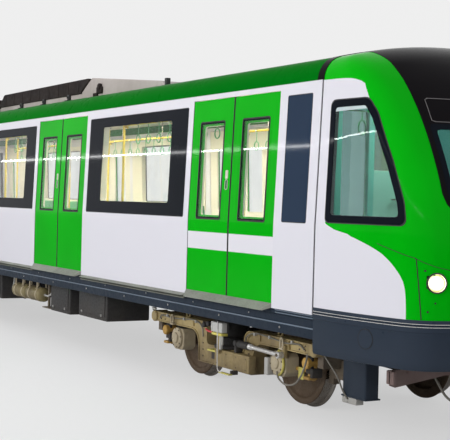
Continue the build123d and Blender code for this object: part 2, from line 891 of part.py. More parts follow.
def side_beam_outline():
    """Swan-neck side beam, seen from the side: arched over the axle boxes and low in the middle."""
    half = (
        # place from the pivot, height
        (0, frame_bottom),
        (leg_outer, frame_bottom),
        (leg_outer, beam_arch),
        (frame_reach, beam_arch),
        (frame_reach, frame_top),
        (leg_outer, frame_top),
        (leg_inner, beam_low_top),
        (0, beam_low_top),
    )
    points = [(place, up(height)) for place, height in half]
    mirrored = [(-place, height) for place, height in reversed(points[1:-1])]
    with BuildSketch() as outline:
        with BuildLine():
            Polyline(*points, *mirrored, close=True)
        make_face()
        for hand in (-1, 1):
            for place, height, radius in (
                (leg_outer, beam_arch, arch_radius),
                (leg_outer, frame_top, crest_radius),
                (leg_inner, beam_low_top, bend_radius),
            ):
                bend = outline.vertices().sort_by_distance((hand * place, up(height)))[0]
                fillet(bend, radius)
        with Locations((-frame_reach, up(end_tube_height)), (frame_reach, up(end_tube_height))):
            Circle(end_radius)
    return outline.sketch


def lifting_eye_outline():
    """Round eye with its bore on a short foot, seen from the side, standing on the beam's top."""
    with BuildSketch() as outline:
        with Locations((0, up(frame_top) + eye_radius / 2)):
            Circle(eye_radius)
        with Locations((0, up(frame_top) - eye_radius / 2)):
            Rectangle(2 * eye_radius, 2 * eye_radius)
        with Locations((0, up(frame_top) + eye_radius / 2)):
            Circle(eye_bore, mode=Mode.SUBTRACT)
    return outline.sketch


def axle_box_outline():
    """Axle box with a flat seat for its spring, seen from the side."""
    with BuildSketch() as outline:
        with Locations((0, (up(box_bottom) + up(box_top)) / 2)):
            Rectangle(2 * box_half_width, box_top - box_bottom)
        chamfer(outline.vertices(), box_chamfer)
    return outline.sketch


def air_spring_outline():
    """Half profile of an air spring: rubber foot, bellows and top plate, with the axis at x = 0."""
    low = up(beam_low_top)
    high = up(bolster_bottom) - running_gap
    foot = spring_radius - 60
    with BuildSketch() as profile:
        with BuildLine():
            Polyline((0, low), (foot, low), (foot, low + 90), (spring_radius - 20, low + 110))
            ThreePointArc((spring_radius - 20, low + 110),
                          (spring_radius, (low + 110 + high - 40) / 2),
                          (spring_radius - 20, high - 40))
            Polyline((spring_radius - 20, high - 40), (foot, high - 20), (foot, high), (0, high),
                     (0, low))
        make_face()
    return profile.sketch


for bogie_place, name in zip(bogie_places, ("front", "rear")):
    centre = ahead(bogie_place)
    axles = [(hand, centre + hand * wheelbase / 2) for hand in (-1, 1)]

    with BuildPart() as bogie_frame:
        for side, _ in body_sides:
            with BuildSketch(upright(max(side * frame_inner, side * frame_outer))):
                with Locations((centre, 0)):
                    add(side_beam_outline())
            extrude(amount=frame_width)
            with BuildSketch(upright(side * beam_middle + eye_width / 2)):
                with Locations((centre - eye_place, 0), (centre + eye_place, 0)):
                    add(lifting_eye_outline())
            extrude(amount=eye_width)
            with BuildSketch(upright(max(side * frame_outer, side * (frame_outer + step_box_depth)))):
                with Locations((centre + (step_box_front + step_box_back) / 2,
                                up((step_box_bottom + beam_low_top) / 2))):
                    RectangleRounded(step_box_front - step_box_back, beam_low_top - step_box_bottom,
                                     step_box_edge)
            extrude(amount=step_box_depth)
        with BuildSketch(upright(frame_inner)):
            with Locations((centre - transom_place, up(transom_height)),
                           (centre + transom_place, up(transom_height))):
                Circle(transom_radius)
        extrude(amount=2 * frame_inner)
        with BuildSketch(upright(frame_inner)):
            with Locations((centre - frame_reach, up(end_tube_height)),
                           (centre + frame_reach, up(end_tube_height))):
                Circle(end_tube_radius)
        extrude(amount=2 * frame_inner)
        with BuildSketch(Plane.XY.offset(up(pivot_block_bottom))):
            with Locations((centre, 0)):
                Rectangle(2 * transom_place, 2 * pivot_block_half)
        extrude(amount=pivot_block_top - pivot_block_bottom)
        with BuildSketch(Plane.XY.offset(up(0))):
            with Locations((centre, 0)):
                Circle(pin_radius + pin_clearance)
        extrude(amount=frame_top, mode=Mode.SUBTRACT)
    bogie_frame.part.label = f"{name}_bogie_frame"
    export_step(bogie_frame.part, f"parts/{name}_bogie_frame.step")

    with BuildPart() as axle_boxes:
        for hand, axle in axles:
            for side, _ in body_sides:
                with BuildSketch(upright(max(side * frame_inner, side * frame_outer))):
                    with Locations((axle, 0)):
                        add(axle_box_outline())
                extrude(amount=frame_width)
                with BuildSketch(upright(max(side * frame_outer, side * (frame_outer + cover_depth)))):
                    with Locations((axle, up(wheel_radius))):
                        Circle(cover_radius)
                extrude(amount=cover_depth)
                cap_start = frame_outer + cover_depth
                with BuildSketch(upright(max(side * cap_start, side * (cap_start + cap_depth)))):
                    with Locations((axle, up(wheel_radius))):
                        Circle(cap_radius)
                extrude(amount=cap_depth)
                bore_end = journal_end + axle_clearance
                with BuildSketch(upright(max(side * (frame_inner - 1), side * bore_end))):
                    with Locations((axle, up(wheel_radius))):
                        Circle(journal_radius + axle_clearance)
                extrude(amount=bore_end - frame_inner + 1, mode=Mode.SUBTRACT)
    axle_boxes.part.label = f"{name}_axle_boxes"
    export_step(axle_boxes.part, f"parts/{name}_axle_boxes.step")

    # Rubber springs between axle boxes and frame, air springs between frame and bolster
    with BuildPart() as springs:
        for hand, axle in axles:
            for side, _ in body_sides:
                with BuildSketch(Plane.XY.offset(up(box_top))):
                    with Locations((axle, side * beam_middle)):
                        Circle(frame_width / 2 - 5)
                extrude(amount=beam_arch - box_top)
        for side, _ in body_sides:
            middle = (centre, side * beam_middle, 0)
            with BuildSketch(Plane(origin=middle, x_dir=(1, 0, 0), z_dir=(0, -1, 0))):
                add(air_spring_outline())
            revolve(axis=Axis(middle, (0, 0, 1)))
    springs.part.label = f"{name}_springs"
    export_step(springs.part, f"parts/{name}_springs.step")

    # Traction motors, each with its gear case round the axle
    with BuildPart() as drives:
        for hand, axle in axles:
            motor = centre + hand * motor_place
            with BuildSketch(upright(motor_half_length)):
                with Locations((motor, up(motor_height))):
                    Circle(motor_radius)
            extrude(amount=2 * motor_half_length)
            for rib in range(motor_ribs):
                start = motor_half_length - 2 * motor_half_length * (rib + 0.5) / motor_ribs
                with BuildSketch(upright(start + rib_thickness / 2)):
                    with Locations((motor, up(motor_height))):
                        Circle(motor_radius + rib_depth)
                extrude(amount=rib_thickness)
            with BuildSketch(upright(hand * gear_middle + gear_half_width)):
                with Locations((motor, up(motor_height))):
                    Circle(gear_small_radius)
                with Locations((axle, up(wheel_radius))):
                    Circle(gear_radius)
                make_hull()
            extrude(amount=2 * gear_half_width)
            with BuildSketch(upright(max(0, hand * gear_middle))):
                with Locations((motor, up(motor_height))):
                    Circle(motor_neck)
            extrude(amount=gear_middle)
            with BuildSketch(upright(hand * gear_middle + gear_half_width + 1)):
                with Locations((axle, up(wheel_radius))):
                    Circle(axle_radius + gear_clearance)
            extrude(amount=2 * gear_half_width + 2, mode=Mode.SUBTRACT)
            with BuildSketch(upright(motor_bracket / 2)):
                with Locations((centre + hand * (transom_place + motor_place) / 2,
                                up(transom_height))):
                    Rectangle(motor_place - transom_place, transom_radius)
            extrude(amount=motor_bracket)
        with BuildSketch(upright(motor_bracket)):
            with Locations((centre - transom_place, up(transom_height)),
                           (centre + transom_place, up(transom_height))):
                Circle(transom_radius + running_gap)
        extrude(amount=2 * motor_bracket, mode=Mode.SUBTRACT)
        with BuildSketch(Plane.XY.offset(up(pivot_block_bottom))):
            with Locations((centre, 0)):
                Rectangle(2 * transom_place + 2 * running_gap, 2 * pivot_block_half)
        extrude(amount=pivot_block_top - pivot_block_bottom, mode=Mode.SUBTRACT)
    drives.part.label = f"{name}_drives"
    export_step(drives.part, f"parts/{name}_drives.step")

    # Tread brakes beyond each wheel, hung from the ends of the frame: shoe, cylinder and hanger
    with BuildPart() as brakes:
        for hand, axle in axles:
            shoe = axle + hand * (wheel_radius + flange_height + shoe_gap)
            cylinder = shoe + hand * (shoe_depth + brake_depth) / 2
            hanger = cylinder + hand * (shoe_depth / 2)
            for side, _ in body_sides:
                tread = side * (flange_back + wheel_width / 2 + 10)
                with BuildSketch(upright(tread + brake_width / 2)):
                    with Locations((cylinder, up(wheel_radius))):
                        Rectangle(shoe_depth + brake_depth, 2 * brake_half_height)
                extrude(amount=brake_width)
                with BuildSketch(upright(tread + shoe_width / 2)):
                    with Locations((shoe, up(wheel_radius))):
                        Rectangle(2 * shoe_depth, 2 * shoe_half_height)
                extrude(amount=shoe_width)
                arm_inner = flange_back + wheel_width / 2
                arm_outer = frame_inner + frame_width / 2
                with BuildSketch(upright(max(side * arm_inner, side * arm_outer))):
                    with Locations((hanger, up((wheel_radius + beam_arch) / 2 + 10))):
                        Rectangle(hanger_width, beam_arch - wheel_radius - 20)
                extrude(amount=arm_outer - arm_inner)
        with BuildSketch(upright(frame_outer)):
            with Locations((centre - frame_reach, up(end_tube_height)),
                           (centre + frame_reach, up(end_tube_height))):
                Circle(end_radius + running_gap)
            for hand, axle in axles:
                with Locations((axle, up(wheel_radius))):
                    Circle(wheel_radius + flange_height + shoe_gap)
        extrude(amount=2 * frame_outer, mode=Mode.SUBTRACT)
    brakes.part.label = f"{name}_brakes"
    export_step(brakes.part, f"parts/{name}_brakes.step")

# Level dampers outside the frames, each held by two brackets on its side beam
for bogie_place, name in zip(bogie_places, ("front", "rear")):
    centre = ahead(bogie_place)
    with BuildPart() as dampers:
        for side, _ in body_sides:
            line = side * (frame_outer + damper_radius + damper_bracket)
            with BuildSketch(Plane.YZ.offset(centre + damper_start)):
                with Locations((line, up(damper_height))):
                    Circle(damper_radius)
            extrude(amount=damper_body)
            with BuildSketch(Plane.YZ.offset(centre + damper_start)):
                with Locations((line, up(damper_height))):
                    Circle(damper_rod)
            extrude(amount=damper_length)
            for place in (damper_start, damper_start + damper_length - damper_bracket):
                with BuildSketch(upright(max(side * frame_outer, line + side * damper_radius))):
                    with Locations((centre + place + damper_bracket / 2,
                                    up(damper_height) - damper_radius + bracket_height / 2)):
                        Rectangle(damper_bracket, bracket_height)
                extrude(amount=abs(line + side * damper_radius) - frame_outer)
    dampers.part.label = f"{name}_dampers"
    export_step(dampers.part, f"parts/{name}_dampers.step")

# Coupler: a head on a shank that swings about an upright pin below the cab floor
coupler_height = 650
coupler_pivot = 350
coupler_pin = 32
coupler_eye = 78
eye_half_height = 48
lug_thickness = 35
lug_clearance = 2
mount_back = 140
mount_plate = 60
mount_half_width = 170
shank_radius = 55
cone_length = 120
head_length = 350
head_face = coupler_reach - cone_length
head_back = head_face - head_length
head_half_width = 190
head_half_height = 150
cone_offset = 95
cone_base = 62
cone_tip = 30
funnel_depth = 130
coupler_joint = 1.0
with BuildPart() as coupler_mount:
    with BuildSketch(Plane.YZ.offset(ahead(mount_back))):
        with Locations((0, (up(coupler_height - 160) + up(floor_bottom)) / 2)):
            Rectangle(2 * mount_half_width, floor_bottom - coupler_height + 160)
    extrude(amount=mount_plate)
    for hand in (-1, 1):
        lug = coupler_height + hand * (eye_half_height + lug_clearance + lug_thickness / 2)
        with BuildSketch(Plane.XY.offset(up(lug - lug_thickness / 2))):
            with Locations((ahead((mount_back + coupler_pivot) / 2), 0)):
                Rectangle(coupler_pivot - mount_back, 2 * coupler_eye)
            with Locations((ahead(coupler_pivot), 0)):
                Circle(coupler_eye)
        extrude(amount=lug_thickness)
    with BuildSketch(Plane.XY.offset(up(coupler_height - eye_half_height - lug_thickness))):
        with Locations((ahead(coupler_pivot), 0)):
            Circle(coupler_pin)
    extrude(amount=2 * (eye_half_height + lug_thickness))
coupler_mount.part.label = "coupler_mount"
export_step(coupler_mount.part, "parts/coupler_mount.step")

with BuildPart() as coupler:
    with BuildSketch(Plane.XY.offset(up(coupler_height - eye_half_height))):
        with Locations((ahead(coupler_pivot), 0)):
            Circle(coupler_eye)
    extrude(amount=2 * eye_half_height)
    with BuildSketch(Plane.YZ.offset(ahead(coupler_pivot))):
        with Locations((0, up(coupler_height))):
            Circle(min(shank_radius, eye_half_height))
    extrude(amount=mount_plate + coupler_eye)
    with BuildSketch(Plane.YZ.offset(ahead(coupler_pivot + mount_plate + coupler_eye))):
        with Locations((0, up(coupler_height))):
            Circle(shank_radius)
    extrude(amount=head_back - coupler_pivot - mount_plate - coupler_eye)
    with BuildSketch(Plane.YZ.offset(ahead(head_back))):
        with Locations((0, up(coupler_height))):
            RectangleRounded(1.4 * head_half_width, 1.4 * head_half_height, 60)
    with BuildSketch(Plane.YZ.offset(ahead(head_face - 120))):
        with Locations((0, up(coupler_height))):
            RectangleRounded(2 * head_half_width, 2 * head_half_height, 60)
    loft(ruled=True)
    with BuildSketch(Plane.YZ.offset(ahead(head_face - 120))):
        with Locations((0, up(coupler_height))):
            RectangleRounded(2 * head_half_width, 2 * head_half_height, 60)
    extrude(amount=120)
    with BuildSketch(Plane.YZ.offset(ahead(head_face))):
        with Locations((cone_offset, up(coupler_height))):
            Circle(cone_base)
    with BuildSketch(Plane.YZ.offset(ahead(coupler_reach))):
        with Locations((cone_offset, up(coupler_height))):
            Circle(cone_tip)
    loft()
    with BuildSketch(Plane.YZ.offset(ahead(head_face))):
        with Locations((-cone_offset, up(coupler_height))):
            Circle(cone_base + 15)
    with BuildSketch(Plane.YZ.offset(ahead(head_face - funnel_depth))):
        with Locations((-cone_offset, up(coupler_height))):
            Circle(cone_tip + 10)
    loft(mode=Mode.SUBTRACT)
    with BuildSketch(Plane.XY.offset(up(coupler_height - coupler_eye))):
        with Locations((ahead(coupler_pivot), 0)):
            Circle(coupler_pin + coupler_joint)
    extrude(amount=2 * coupler_eye, mode=Mode.SUBTRACT)
coupler.part.label = "coupler"
export_step(coupler.part, "parts/coupler.step")

# Guard beam under the bumper and the guards ahead of the first wheels, hung from the cab floor
beam_place = 560
beam_depth = 110
beam_half_width = 1050
beam_bottom = 460
beam_height = 110
beam_strap = 70
strap_offset = 700
guard_back = -210
guard_front = 160
guard_inner = 790
guard_outer = 950
guard_bottom = 240
guard_top = 550
guard_strap = 80
guard_foot = 60
with BuildPart() as deflectors:
    with BuildSketch(Plane.XY.offset(up(beam_bottom))):
        with Locations((ahead(beam_place + beam_depth / 2), 0)):
            Rectangle(beam_depth, 2 * beam_half_width)
    extrude(amount=beam_height)
    with BuildSketch(Plane.XY.offset(up(beam_bottom + beam_height))):
        with Locations((ahead(beam_place + beam_depth / 2), -strap_offset),
                       (ahead(beam_place + beam_depth / 2), strap_offset)):
            Rectangle(beam_strap, 2 * beam_strap)
    extrude(amount=floor_bottom - beam_bottom - beam_height)
    for side, _ in body_sides:
        middle = side * (guard_inner + guard_outer) / 2
        with BuildSketch(Plane.XY.offset(up(guard_bottom))):
            with Locations((ahead((guard_back + guard_front) / 2), middle)):
                Rectangle(guard_front - guard_back, guard_outer - guard_inner)
        extrude(amount=guard_top - guard_bottom)
        with BuildSketch(Plane.XY.offset(up(guard_top))):
            with Locations((ahead((guard_back + guard_front) / 2), middle)):
                Rectangle(2 * guard_strap, guard_strap)
        extrude(amount=floor_bottom - guard_top)
        with BuildSketch(Plane.XY.offset(up(guard_bottom))):
            with Locations((ahead(guard_back) + guard_foot, middle)):
                Rectangle(guard_foot, guard_outer - guard_inner)
        extrude(amount=-guard_foot)
deflectors.part.label = "deflectors"
export_step(deflectors.part, "parts/deflectors.step")

# Drawbar at the rear end: a bracket below the floor, a bar and its eye
drawbar_height = 620
drawbar_radius = 50
drawbar_eye = 85
drawbar_eye_bore = 35
drawbar_eye_half = 50
drawbar_inboard = 400
drawbar_back = drawbar_inboard - saloon_length
with BuildPart() as rear_drawbar:
    with BuildSketch(Plane.YZ.offset(ahead(drawbar_back - 2 * mount_plate))):
        with Locations((0, (up(drawbar_height - 100) + up(floor_bottom)) / 2)):
            Rectangle(2 * mount_half_width, floor_bottom - drawbar_height + 100)
    extrude(amount=2 * mount_plate)
    with BuildSketch(Plane.YZ.offset(ahead(-drawbar_reach + drawbar_eye))):
        with Locations((0, up(drawbar_height))):
            Circle(min(drawbar_radius, drawbar_eye_half))
    extrude(amount=drawbar_reach - drawbar_eye + drawbar_back - mount_plate)
    with BuildSketch(Plane.XY.offset(up(drawbar_height - drawbar_eye_half))):
        with Locations((ahead(-drawbar_reach + drawbar_eye), 0)):
            Circle(drawbar_eye)
    extrude(amount=2 * drawbar_eye_half)
    with BuildSketch(Plane.XY.offset(up(drawbar_height - drawbar_eye_half))):
        with Locations((ahead(-drawbar_reach + drawbar_eye), 0)):
            Circle(drawbar_eye_bore)
    extrude(amount=2 * drawbar_eye_half, mode=Mode.SUBTRACT)
rear_drawbar.part.label = "rear_drawbar"
export_step(rear_drawbar.part, "parts/rear_drawbar.step")

# Air tanks along both sides below the floor, with domed ends, each hung from two saddles
tank_radius = 120
tank_length = 540
tank_margin = 150
tank_middle_y = deck_low_half - tank_margin
tank_height = 550
tank_shares = (0.419, 0.489)
saddle_width = 40
saddle_offset = 150
tank_dome = 45
strap_depth = 5


def tank_outline():
    """Half profile of a tank with its domed ends and straps: length along x, radius along y."""
    half = tank_length / 2
    dome_radius = (tank_radius ** 2 + tank_dome ** 2) / (2 * tank_dome)
    dome_turn = degrees(asin(tank_radius / dome_radius))
    with BuildSketch() as profile:
        with BuildLine():
            front = JernArc((half, 0), (0, 1), dome_radius, dome_turn)
            back = JernArc((-half, 0), (0, 1), dome_radius, -dome_turn)
            Line(front @ 1, back @ 1)
            Line((half, 0), (-half, 0))
        make_face()
        with Locations((-saddle_offset, tank_radius), (saddle_offset, tank_radius)):
            Rectangle(saddle_width, 2 * strap_depth)
    return profile.sketch


with BuildPart() as air_tanks:
    for side, _ in body_sides:
        for share in tank_shares:
            middle = (ahead(bay_front - share * bay_length), side * tank_middle_y, up(tank_height))
            with BuildSketch(Plane(origin=middle, x_dir=(1, 0, 0), z_dir=(0, -1, 0))):
                add(tank_outline())
            revolve(axis=Axis(middle, (1, 0, 0)))
            for hand in (-1, 1):
                saddle = middle[0] + hand * saddle_offset - saddle_width / 2
                with BuildSketch(Plane.YZ.offset(saddle)):
                    with Locations((middle[1], (up(tank_height) + up(floor_bottom)) / 2)):
                        Rectangle(1.2 * tank_radius, floor_bottom - tank_height)
                extrude(amount=saddle_width)
air_tanks.part.label = "air_tanks"
export_step(air_tanks.part, "parts/air_tanks.step")

# Equipment boxes below the floor, with a sunk lid in each outer face and ribs on the long ones
box_margin = 50
box_outer_y = deck_low_half - box_margin
equipment_table = (
    # share of the bay between the bogies, length, side, inner y, bottom height, ribs
    (0.155, 900, -1, 650, 430, 0),
    (0.288, 700, -1, 500, 400, 0),
    (0.680, 1700, -1, 300, 380, 14),
    (0.896, 1300, -1, 450, 420, 0),
    (0.210, 1500, 1, 450, 400, 0),
    (0.668, 2000, 1, 350, 360, 16),
    (0.920, 1200, 1, 500, 420, 0),
)
box_edge = 25
lid_margin = 55
lid_depth = 8
cooling_rib = 14
with BuildPart() as equipment_boxes:
    for share, length, side, inner, bottom, ribs in equipment_table:
        with BuildSketch(Plane.XY.offset(up(bottom))):
            with Locations((ahead(bay_front - share * bay_length), side * (inner + box_outer_y) / 2)):
                Rectangle(length, box_outer_y - inner)
        extrude(amount=floor_bottom - bottom)
    chamfer(equipment_boxes.edges().filter_by(Axis.X).group_by(Axis.Z)[0], box_edge)
    for share, length, side, inner, bottom, ribs in equipment_table:
        place = ahead(bay_front - share * bay_length)
        height = up((bottom + floor_bottom) / 2)
        lid_length = length - 2 * lid_margin
        lid_height = floor_bottom - bottom - 2 * lid_margin
        with BuildSketch(upright(max(side * box_outer_y, side * (box_outer_y - lid_depth)))):
            with Locations((place, height)):
                RectangleRounded(lid_length, lid_height, box_edge)
        extrude(amount=lid_depth, mode=Mode.SUBTRACT)
        if ribs:
            with BuildSketch(upright(max(side * box_outer_y, side * (box_outer_y - lid_depth)))):
                with Locations((place, height)):
                    with GridLocations(lid_length / ribs, 1, ribs, 1):
                        Rectangle(cooling_rib, lid_height)
            extrude(amount=lid_depth)
equipment_boxes.part.label = "equipment_boxes"
export_step(equipment_boxes.part, "parts/equipment_boxes.step")

# Air-conditioning units on the roof, with a long sloping front on the first, round fan wells in
# their tops and slots along their sides
unit_half_width = 850
unit_rear_margin = 1200
unit_end = unit_rear_margin - saloon_length
unit_profiles = (
    # place and height above the cantrail of each corner along the top, from the front rearwards
    ((-4100, 295), (-4260, 355), (-6400, 555), (-9950, 555), (-10150, 405)),
    ((-10350, 405), (-10500, 515), (unit_end + 300, 515), (unit_end, 405)),
)
fan_count = 4
fan_pitch = 780
fan_radius = 290
fan_hub = 90
fan_depth = 60
fan_bar = 24
curb_width = 22
curb_height = 14
slot_count = 10
slot_height = 42
slot_depth = 30
slot_share = 0.62
with BuildPart() as hvac_units:
    for profile in unit_profiles:
        corners = [(ahead(place), up(cantrail_height + rise)) for place, rise in profile]
        low = up(cantrail_height)
        with BuildSketch(upright(unit_half_width)):
            with BuildLine():
                Polyline((corners[0][0], low), *corners, (corners[-1][0], low), close=True)
            make_face()
        extrude(amount=2 * unit_half_width)
    with BuildSketch(Plane.YZ.offset(ahead(-saloon_length))):
        add(body_outline(inset=-running_gap))
    extrude(amount=saloon_length, mode=Mode.SUBTRACT)
    for profile in unit_profiles:
        flat_back, rise = profile[-2]
        flat_front = flat_back + (fan_count + 0.2) * fan_pitch
        top = up(cantrail_height + rise)
        fans = Locations(*[(ahead(flat_back + (fan + 0.6) * fan_pitch), 0) for fan in range(fan_count)])
        with BuildSketch(Plane.XY.offset(top)):
            with fans:
                Circle(fan_radius + curb_width)
        extrude(amount=curb_height)
        with BuildSketch(Plane.XY.offset(top + curb_height)):
            with fans:
                Circle(fan_radius)
        extrude(amount=-fan_depth, mode=Mode.SUBTRACT)
        with BuildSketch(Plane.XY.offset(top)):
            with fans:
                Circle(fan_hub)
                Rectangle(2 * fan_radius + curb_width, fan_bar)
                Rectangle(fan_bar, 2 * fan_radius + curb_width)
        extrude(amount=-fan_bar / 2)
        slot_pitch = (flat_front - flat_back) / slot_count
        for side, _ in body_sides:
            with BuildSketch(upright(max(side * unit_half_width, side * (unit_half_width - slot_depth)))):
                with Locations((ahead((flat_front + flat_back) / 2), top - 1.6 * slot_height)):
                    with GridLocations(slot_pitch, slot_height, slot_count, 1):
                        Rectangle(slot_share * slot_pitch, slot_height)
            extrude(amount=slot_depth, mode=Mode.SUBTRACT)
hvac_units.part.label = "hvac_units"
export_step(hvac_units.part, "parts/hvac_units.step")

# Partition between saloon and cab
partition_place = -640
partition_thickness = 40
partition_gap = 4
with BuildPart() as cab_partition:
    with BuildSketch(Plane.YZ.offset(ahead(partition_place))):
        add(body_outline(inset=wall + running_gap, bottom=floor_top))
    extrude(amount=partition_thickness)
cab_partition.part.label = "cab_partition"
export_step(cab_partition.part, "parts/cab_partition.step")

# Driver's desk behind the windscreen
desk_back = 620
desk_front = 1180
desk_half_width = 1000
desk_height = 1780
desk_toe = 1350
with BuildPart() as cab_desk:
    with BuildSketch(upright(desk_half_width)):
        with BuildLine():
            Polyline(
                (ahead(desk_front - 250), up(floor_top)), (ahead(desk_front - 30), up(floor_top)),
                (ahead(desk_front), up(desk_height)), (ahead(desk_front - 200), up(desk_height)),
                (ahead(desk_back), up(desk_height - 60)), (ahead(desk_back), up(desk_height - 110)),
                (ahead(desk_front - 300), up(desk_height - 220)),
                close=True,
            )
        make_face()
    extrude(amount=2 * desk_half_width)
cab_desk.part.label = "cab_desk"
export_step(cab_desk.part, "parts/cab_desk.step")

# Seats: long benches with their backs to the sides, and the driver's seat
bench_depth = 440
bench_height = 440
bench_back = 820
bench_margin = 167.5
bench_length = door_pitch - door_width - 2 * bench_margin
bench_cushion = 90
bench_toe = 90
bench_clearance = 4
seat_count = 7
seat_joint = 8
driver_place = 150
driver_half = 240
driver_foot = 80
driver_cushion = 400
driver_cushion_depth = 90
driver_front = 250
driver_back = 1150
driver_rake = 80
with BuildPart() as seats:
    for side, _ in body_sides:
        wall_face = side_y(floor_top + bench_back, wall + bench_clearance)
        seat_pitch = bench_length / seat_count
        for place in door_places[:-1]:
            start = place - door_pitch / 2 - bench_length / 2
            with BuildSketch(Plane.YZ.offset(ahead(start))):
                with BuildLine():
                    Polyline(
                        (side * wall_face, up(floor_top)),
                        (side * (wall_face - bench_depth + bench_toe), up(floor_top)),
                        (side * (wall_face - bench_depth + bench_toe / 2),
                         up(floor_top + bench_height - bench_cushion)),
                        (side * wall_face, up(floor_top + bench_height - bench_cushion)),
                        close=True,
                    )
                make_face()
            extrude(amount=bench_length)
            for seat in range(seat_count):
                with BuildSketch(Plane.YZ.offset(ahead(start + seat * seat_pitch + seat_joint / 2))):
                    with BuildLine():
                        Polyline(
                            (side * wall_face, up(floor_top + bench_height - bench_cushion)),
                            (side * (wall_face - bench_depth),
                             up(floor_top + bench_height - bench_cushion)),
                            (side * (wall_face - bench_depth), up(floor_top + bench_height)),
                            (side * (wall_face - bench_depth / 2),
                             up(floor_top + bench_height - bench_cushion / 4)),
                            (side * (wall_face - bench_cushion),
                             up(floor_top + bench_height - bench_cushion / 4)),
                            (side * (wall_face - bench_cushion / 2), up(floor_top + bench_back)),
                            (side * wall_face, up(floor_top + bench_back)),
                            close=True,
                        )
                    make_face()
                extrude(amount=seat_pitch - seat_joint)
    cushion_top = up(floor_top + driver_cushion + driver_cushion_depth)
    with BuildSketch(upright(driver_half)):
        with BuildLine():
            seat_x = ahead(driver_place)
            Polyline(
                (seat_x - driver_foot, up(floor_top)),
                (seat_x + driver_foot, up(floor_top)),
                (seat_x + driver_foot, up(floor_top + driver_cushion)),
                (seat_x + driver_front, up(floor_top + driver_cushion)),
                (seat_x + driver_front, cushion_top),
                (seat_x - 2 * driver_foot, cushion_top),
                (seat_x - 2 * driver_foot - driver_rake, up(floor_top + driver_back)),
                (seat_x - 3 * driver_foot - driver_rake, up(floor_top + driver_back)),
                (seat_x - 3 * driver_foot, up(floor_top + driver_cushion)),
                (seat_x - driver_foot, up(floor_top + driver_cushion)),
                close=True,
            )
        make_face()
    extrude(amount=2 * driver_half)
seats.part.label = "seats"
export_step(seats.part, "parts/seats.step")

# Grab poles from floor to ceiling beside the doors
pole_radius = 17
pole_margin = 60
pole_offset = door_width / 2 + pole_margin
pole_y = 900
with BuildPart() as grab_poles:
    with BuildSketch(Plane.XY.offset(up(floor_top))):
        for place in door_places:
            for hand in (-1, 1):
                if place + hand * pole_offset < partition_place:
                    with Locations((ahead(place + hand * pole_offset), -pole_y),
                                   (ahead(place + hand * pole_offset), pole_y)):
                        Circle(pole_radius)
    extrude(amount=ceiling_height - floor_top)
grab_poles.part.label = "grab_poles"
export_step(grab_poles.part, "parts/grab_poles.step")
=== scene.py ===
import bpy
import bmesh
import numpy as np
from math import radians, tan, cos, sin, pi, atan
from mathutils import Matrix, Vector


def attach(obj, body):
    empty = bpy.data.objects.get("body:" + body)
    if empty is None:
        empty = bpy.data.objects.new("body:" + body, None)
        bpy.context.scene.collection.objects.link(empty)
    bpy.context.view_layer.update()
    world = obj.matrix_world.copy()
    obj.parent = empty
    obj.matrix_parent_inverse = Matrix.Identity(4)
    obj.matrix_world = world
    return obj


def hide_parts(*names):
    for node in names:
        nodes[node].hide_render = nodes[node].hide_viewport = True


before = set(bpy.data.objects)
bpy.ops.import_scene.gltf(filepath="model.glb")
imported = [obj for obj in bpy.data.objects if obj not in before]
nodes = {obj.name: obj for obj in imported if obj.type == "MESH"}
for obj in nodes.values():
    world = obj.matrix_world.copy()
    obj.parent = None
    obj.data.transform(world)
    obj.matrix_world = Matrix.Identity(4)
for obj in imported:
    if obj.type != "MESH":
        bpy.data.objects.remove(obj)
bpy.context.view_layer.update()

# Places in this file are measured as on the drawing: x ahead of the cab seam, y to the left,
# z above the rail head. SHIFT takes them into the row's frame.
SHIFT = np.array([7.7, 0.0, 0.028])
SIDES = (-1, 1)
CAR = "car_body"

# Body section: half width, waist, cantrail, lean, shoulder arc and crown
HALF, WAIST, CANTRAIL = 1.425, 1.76, 3.045
LEAN = atan(0.05 / (CANTRAIL - WAIST))
SHOULDER, SLOPE = 0.23, radians(14)
ARC_Y, ARC_Z = 1.375 - SHOULDER * cos(LEAN), CANTRAIL - SHOULDER * sin(LEAN)
END_Y, END_Z = ARC_Y + SHOULDER * sin(SLOPE), ARC_Z + SHOULDER * cos(SLOPE)
ROOF = END_Z + END_Y * tan(SLOPE / 2)
REAR, FLOOR_TOP = -16.9, 1.0645
DOORS = [-1.525 - 4.525 * i for i in range(4)]
BIG_WINDOWS = [(d - 2.2625, 2.62) for d in DOORS[:3]]
NARROW_WINDOWS = [(-0.347, 0.407), (-16.47, 0.407)]
BOGIES = (("front", -2.11), ("rear", -14.11))
LAMP = (1.278, 1.115, 1.359)
UP, AHEAD, BACKWARD = (0, 0, 1), (1, 0, 0), (-1, 0, 0)


# Meshes
def quads(nu, nv, wrap_u=False, wrap_v=False):
    """Faces of a grid of nu rows by nv columns: each face joins four neighbouring points."""
    i = np.arange(nu if wrap_u else nu - 1)[:, None]
    j = np.arange(nv if wrap_v else nv - 1)[None, :]
    a, b = i * nv + j, i * nv + (j + 1) % nv
    c, d = ((i + 1) % nu) * nv + (j + 1) % nv, ((i + 1) % nu) * nv + j
    return np.stack([a + 0 * b, b + 0 * a, c, d], -1).reshape(-1, 4).tolist()


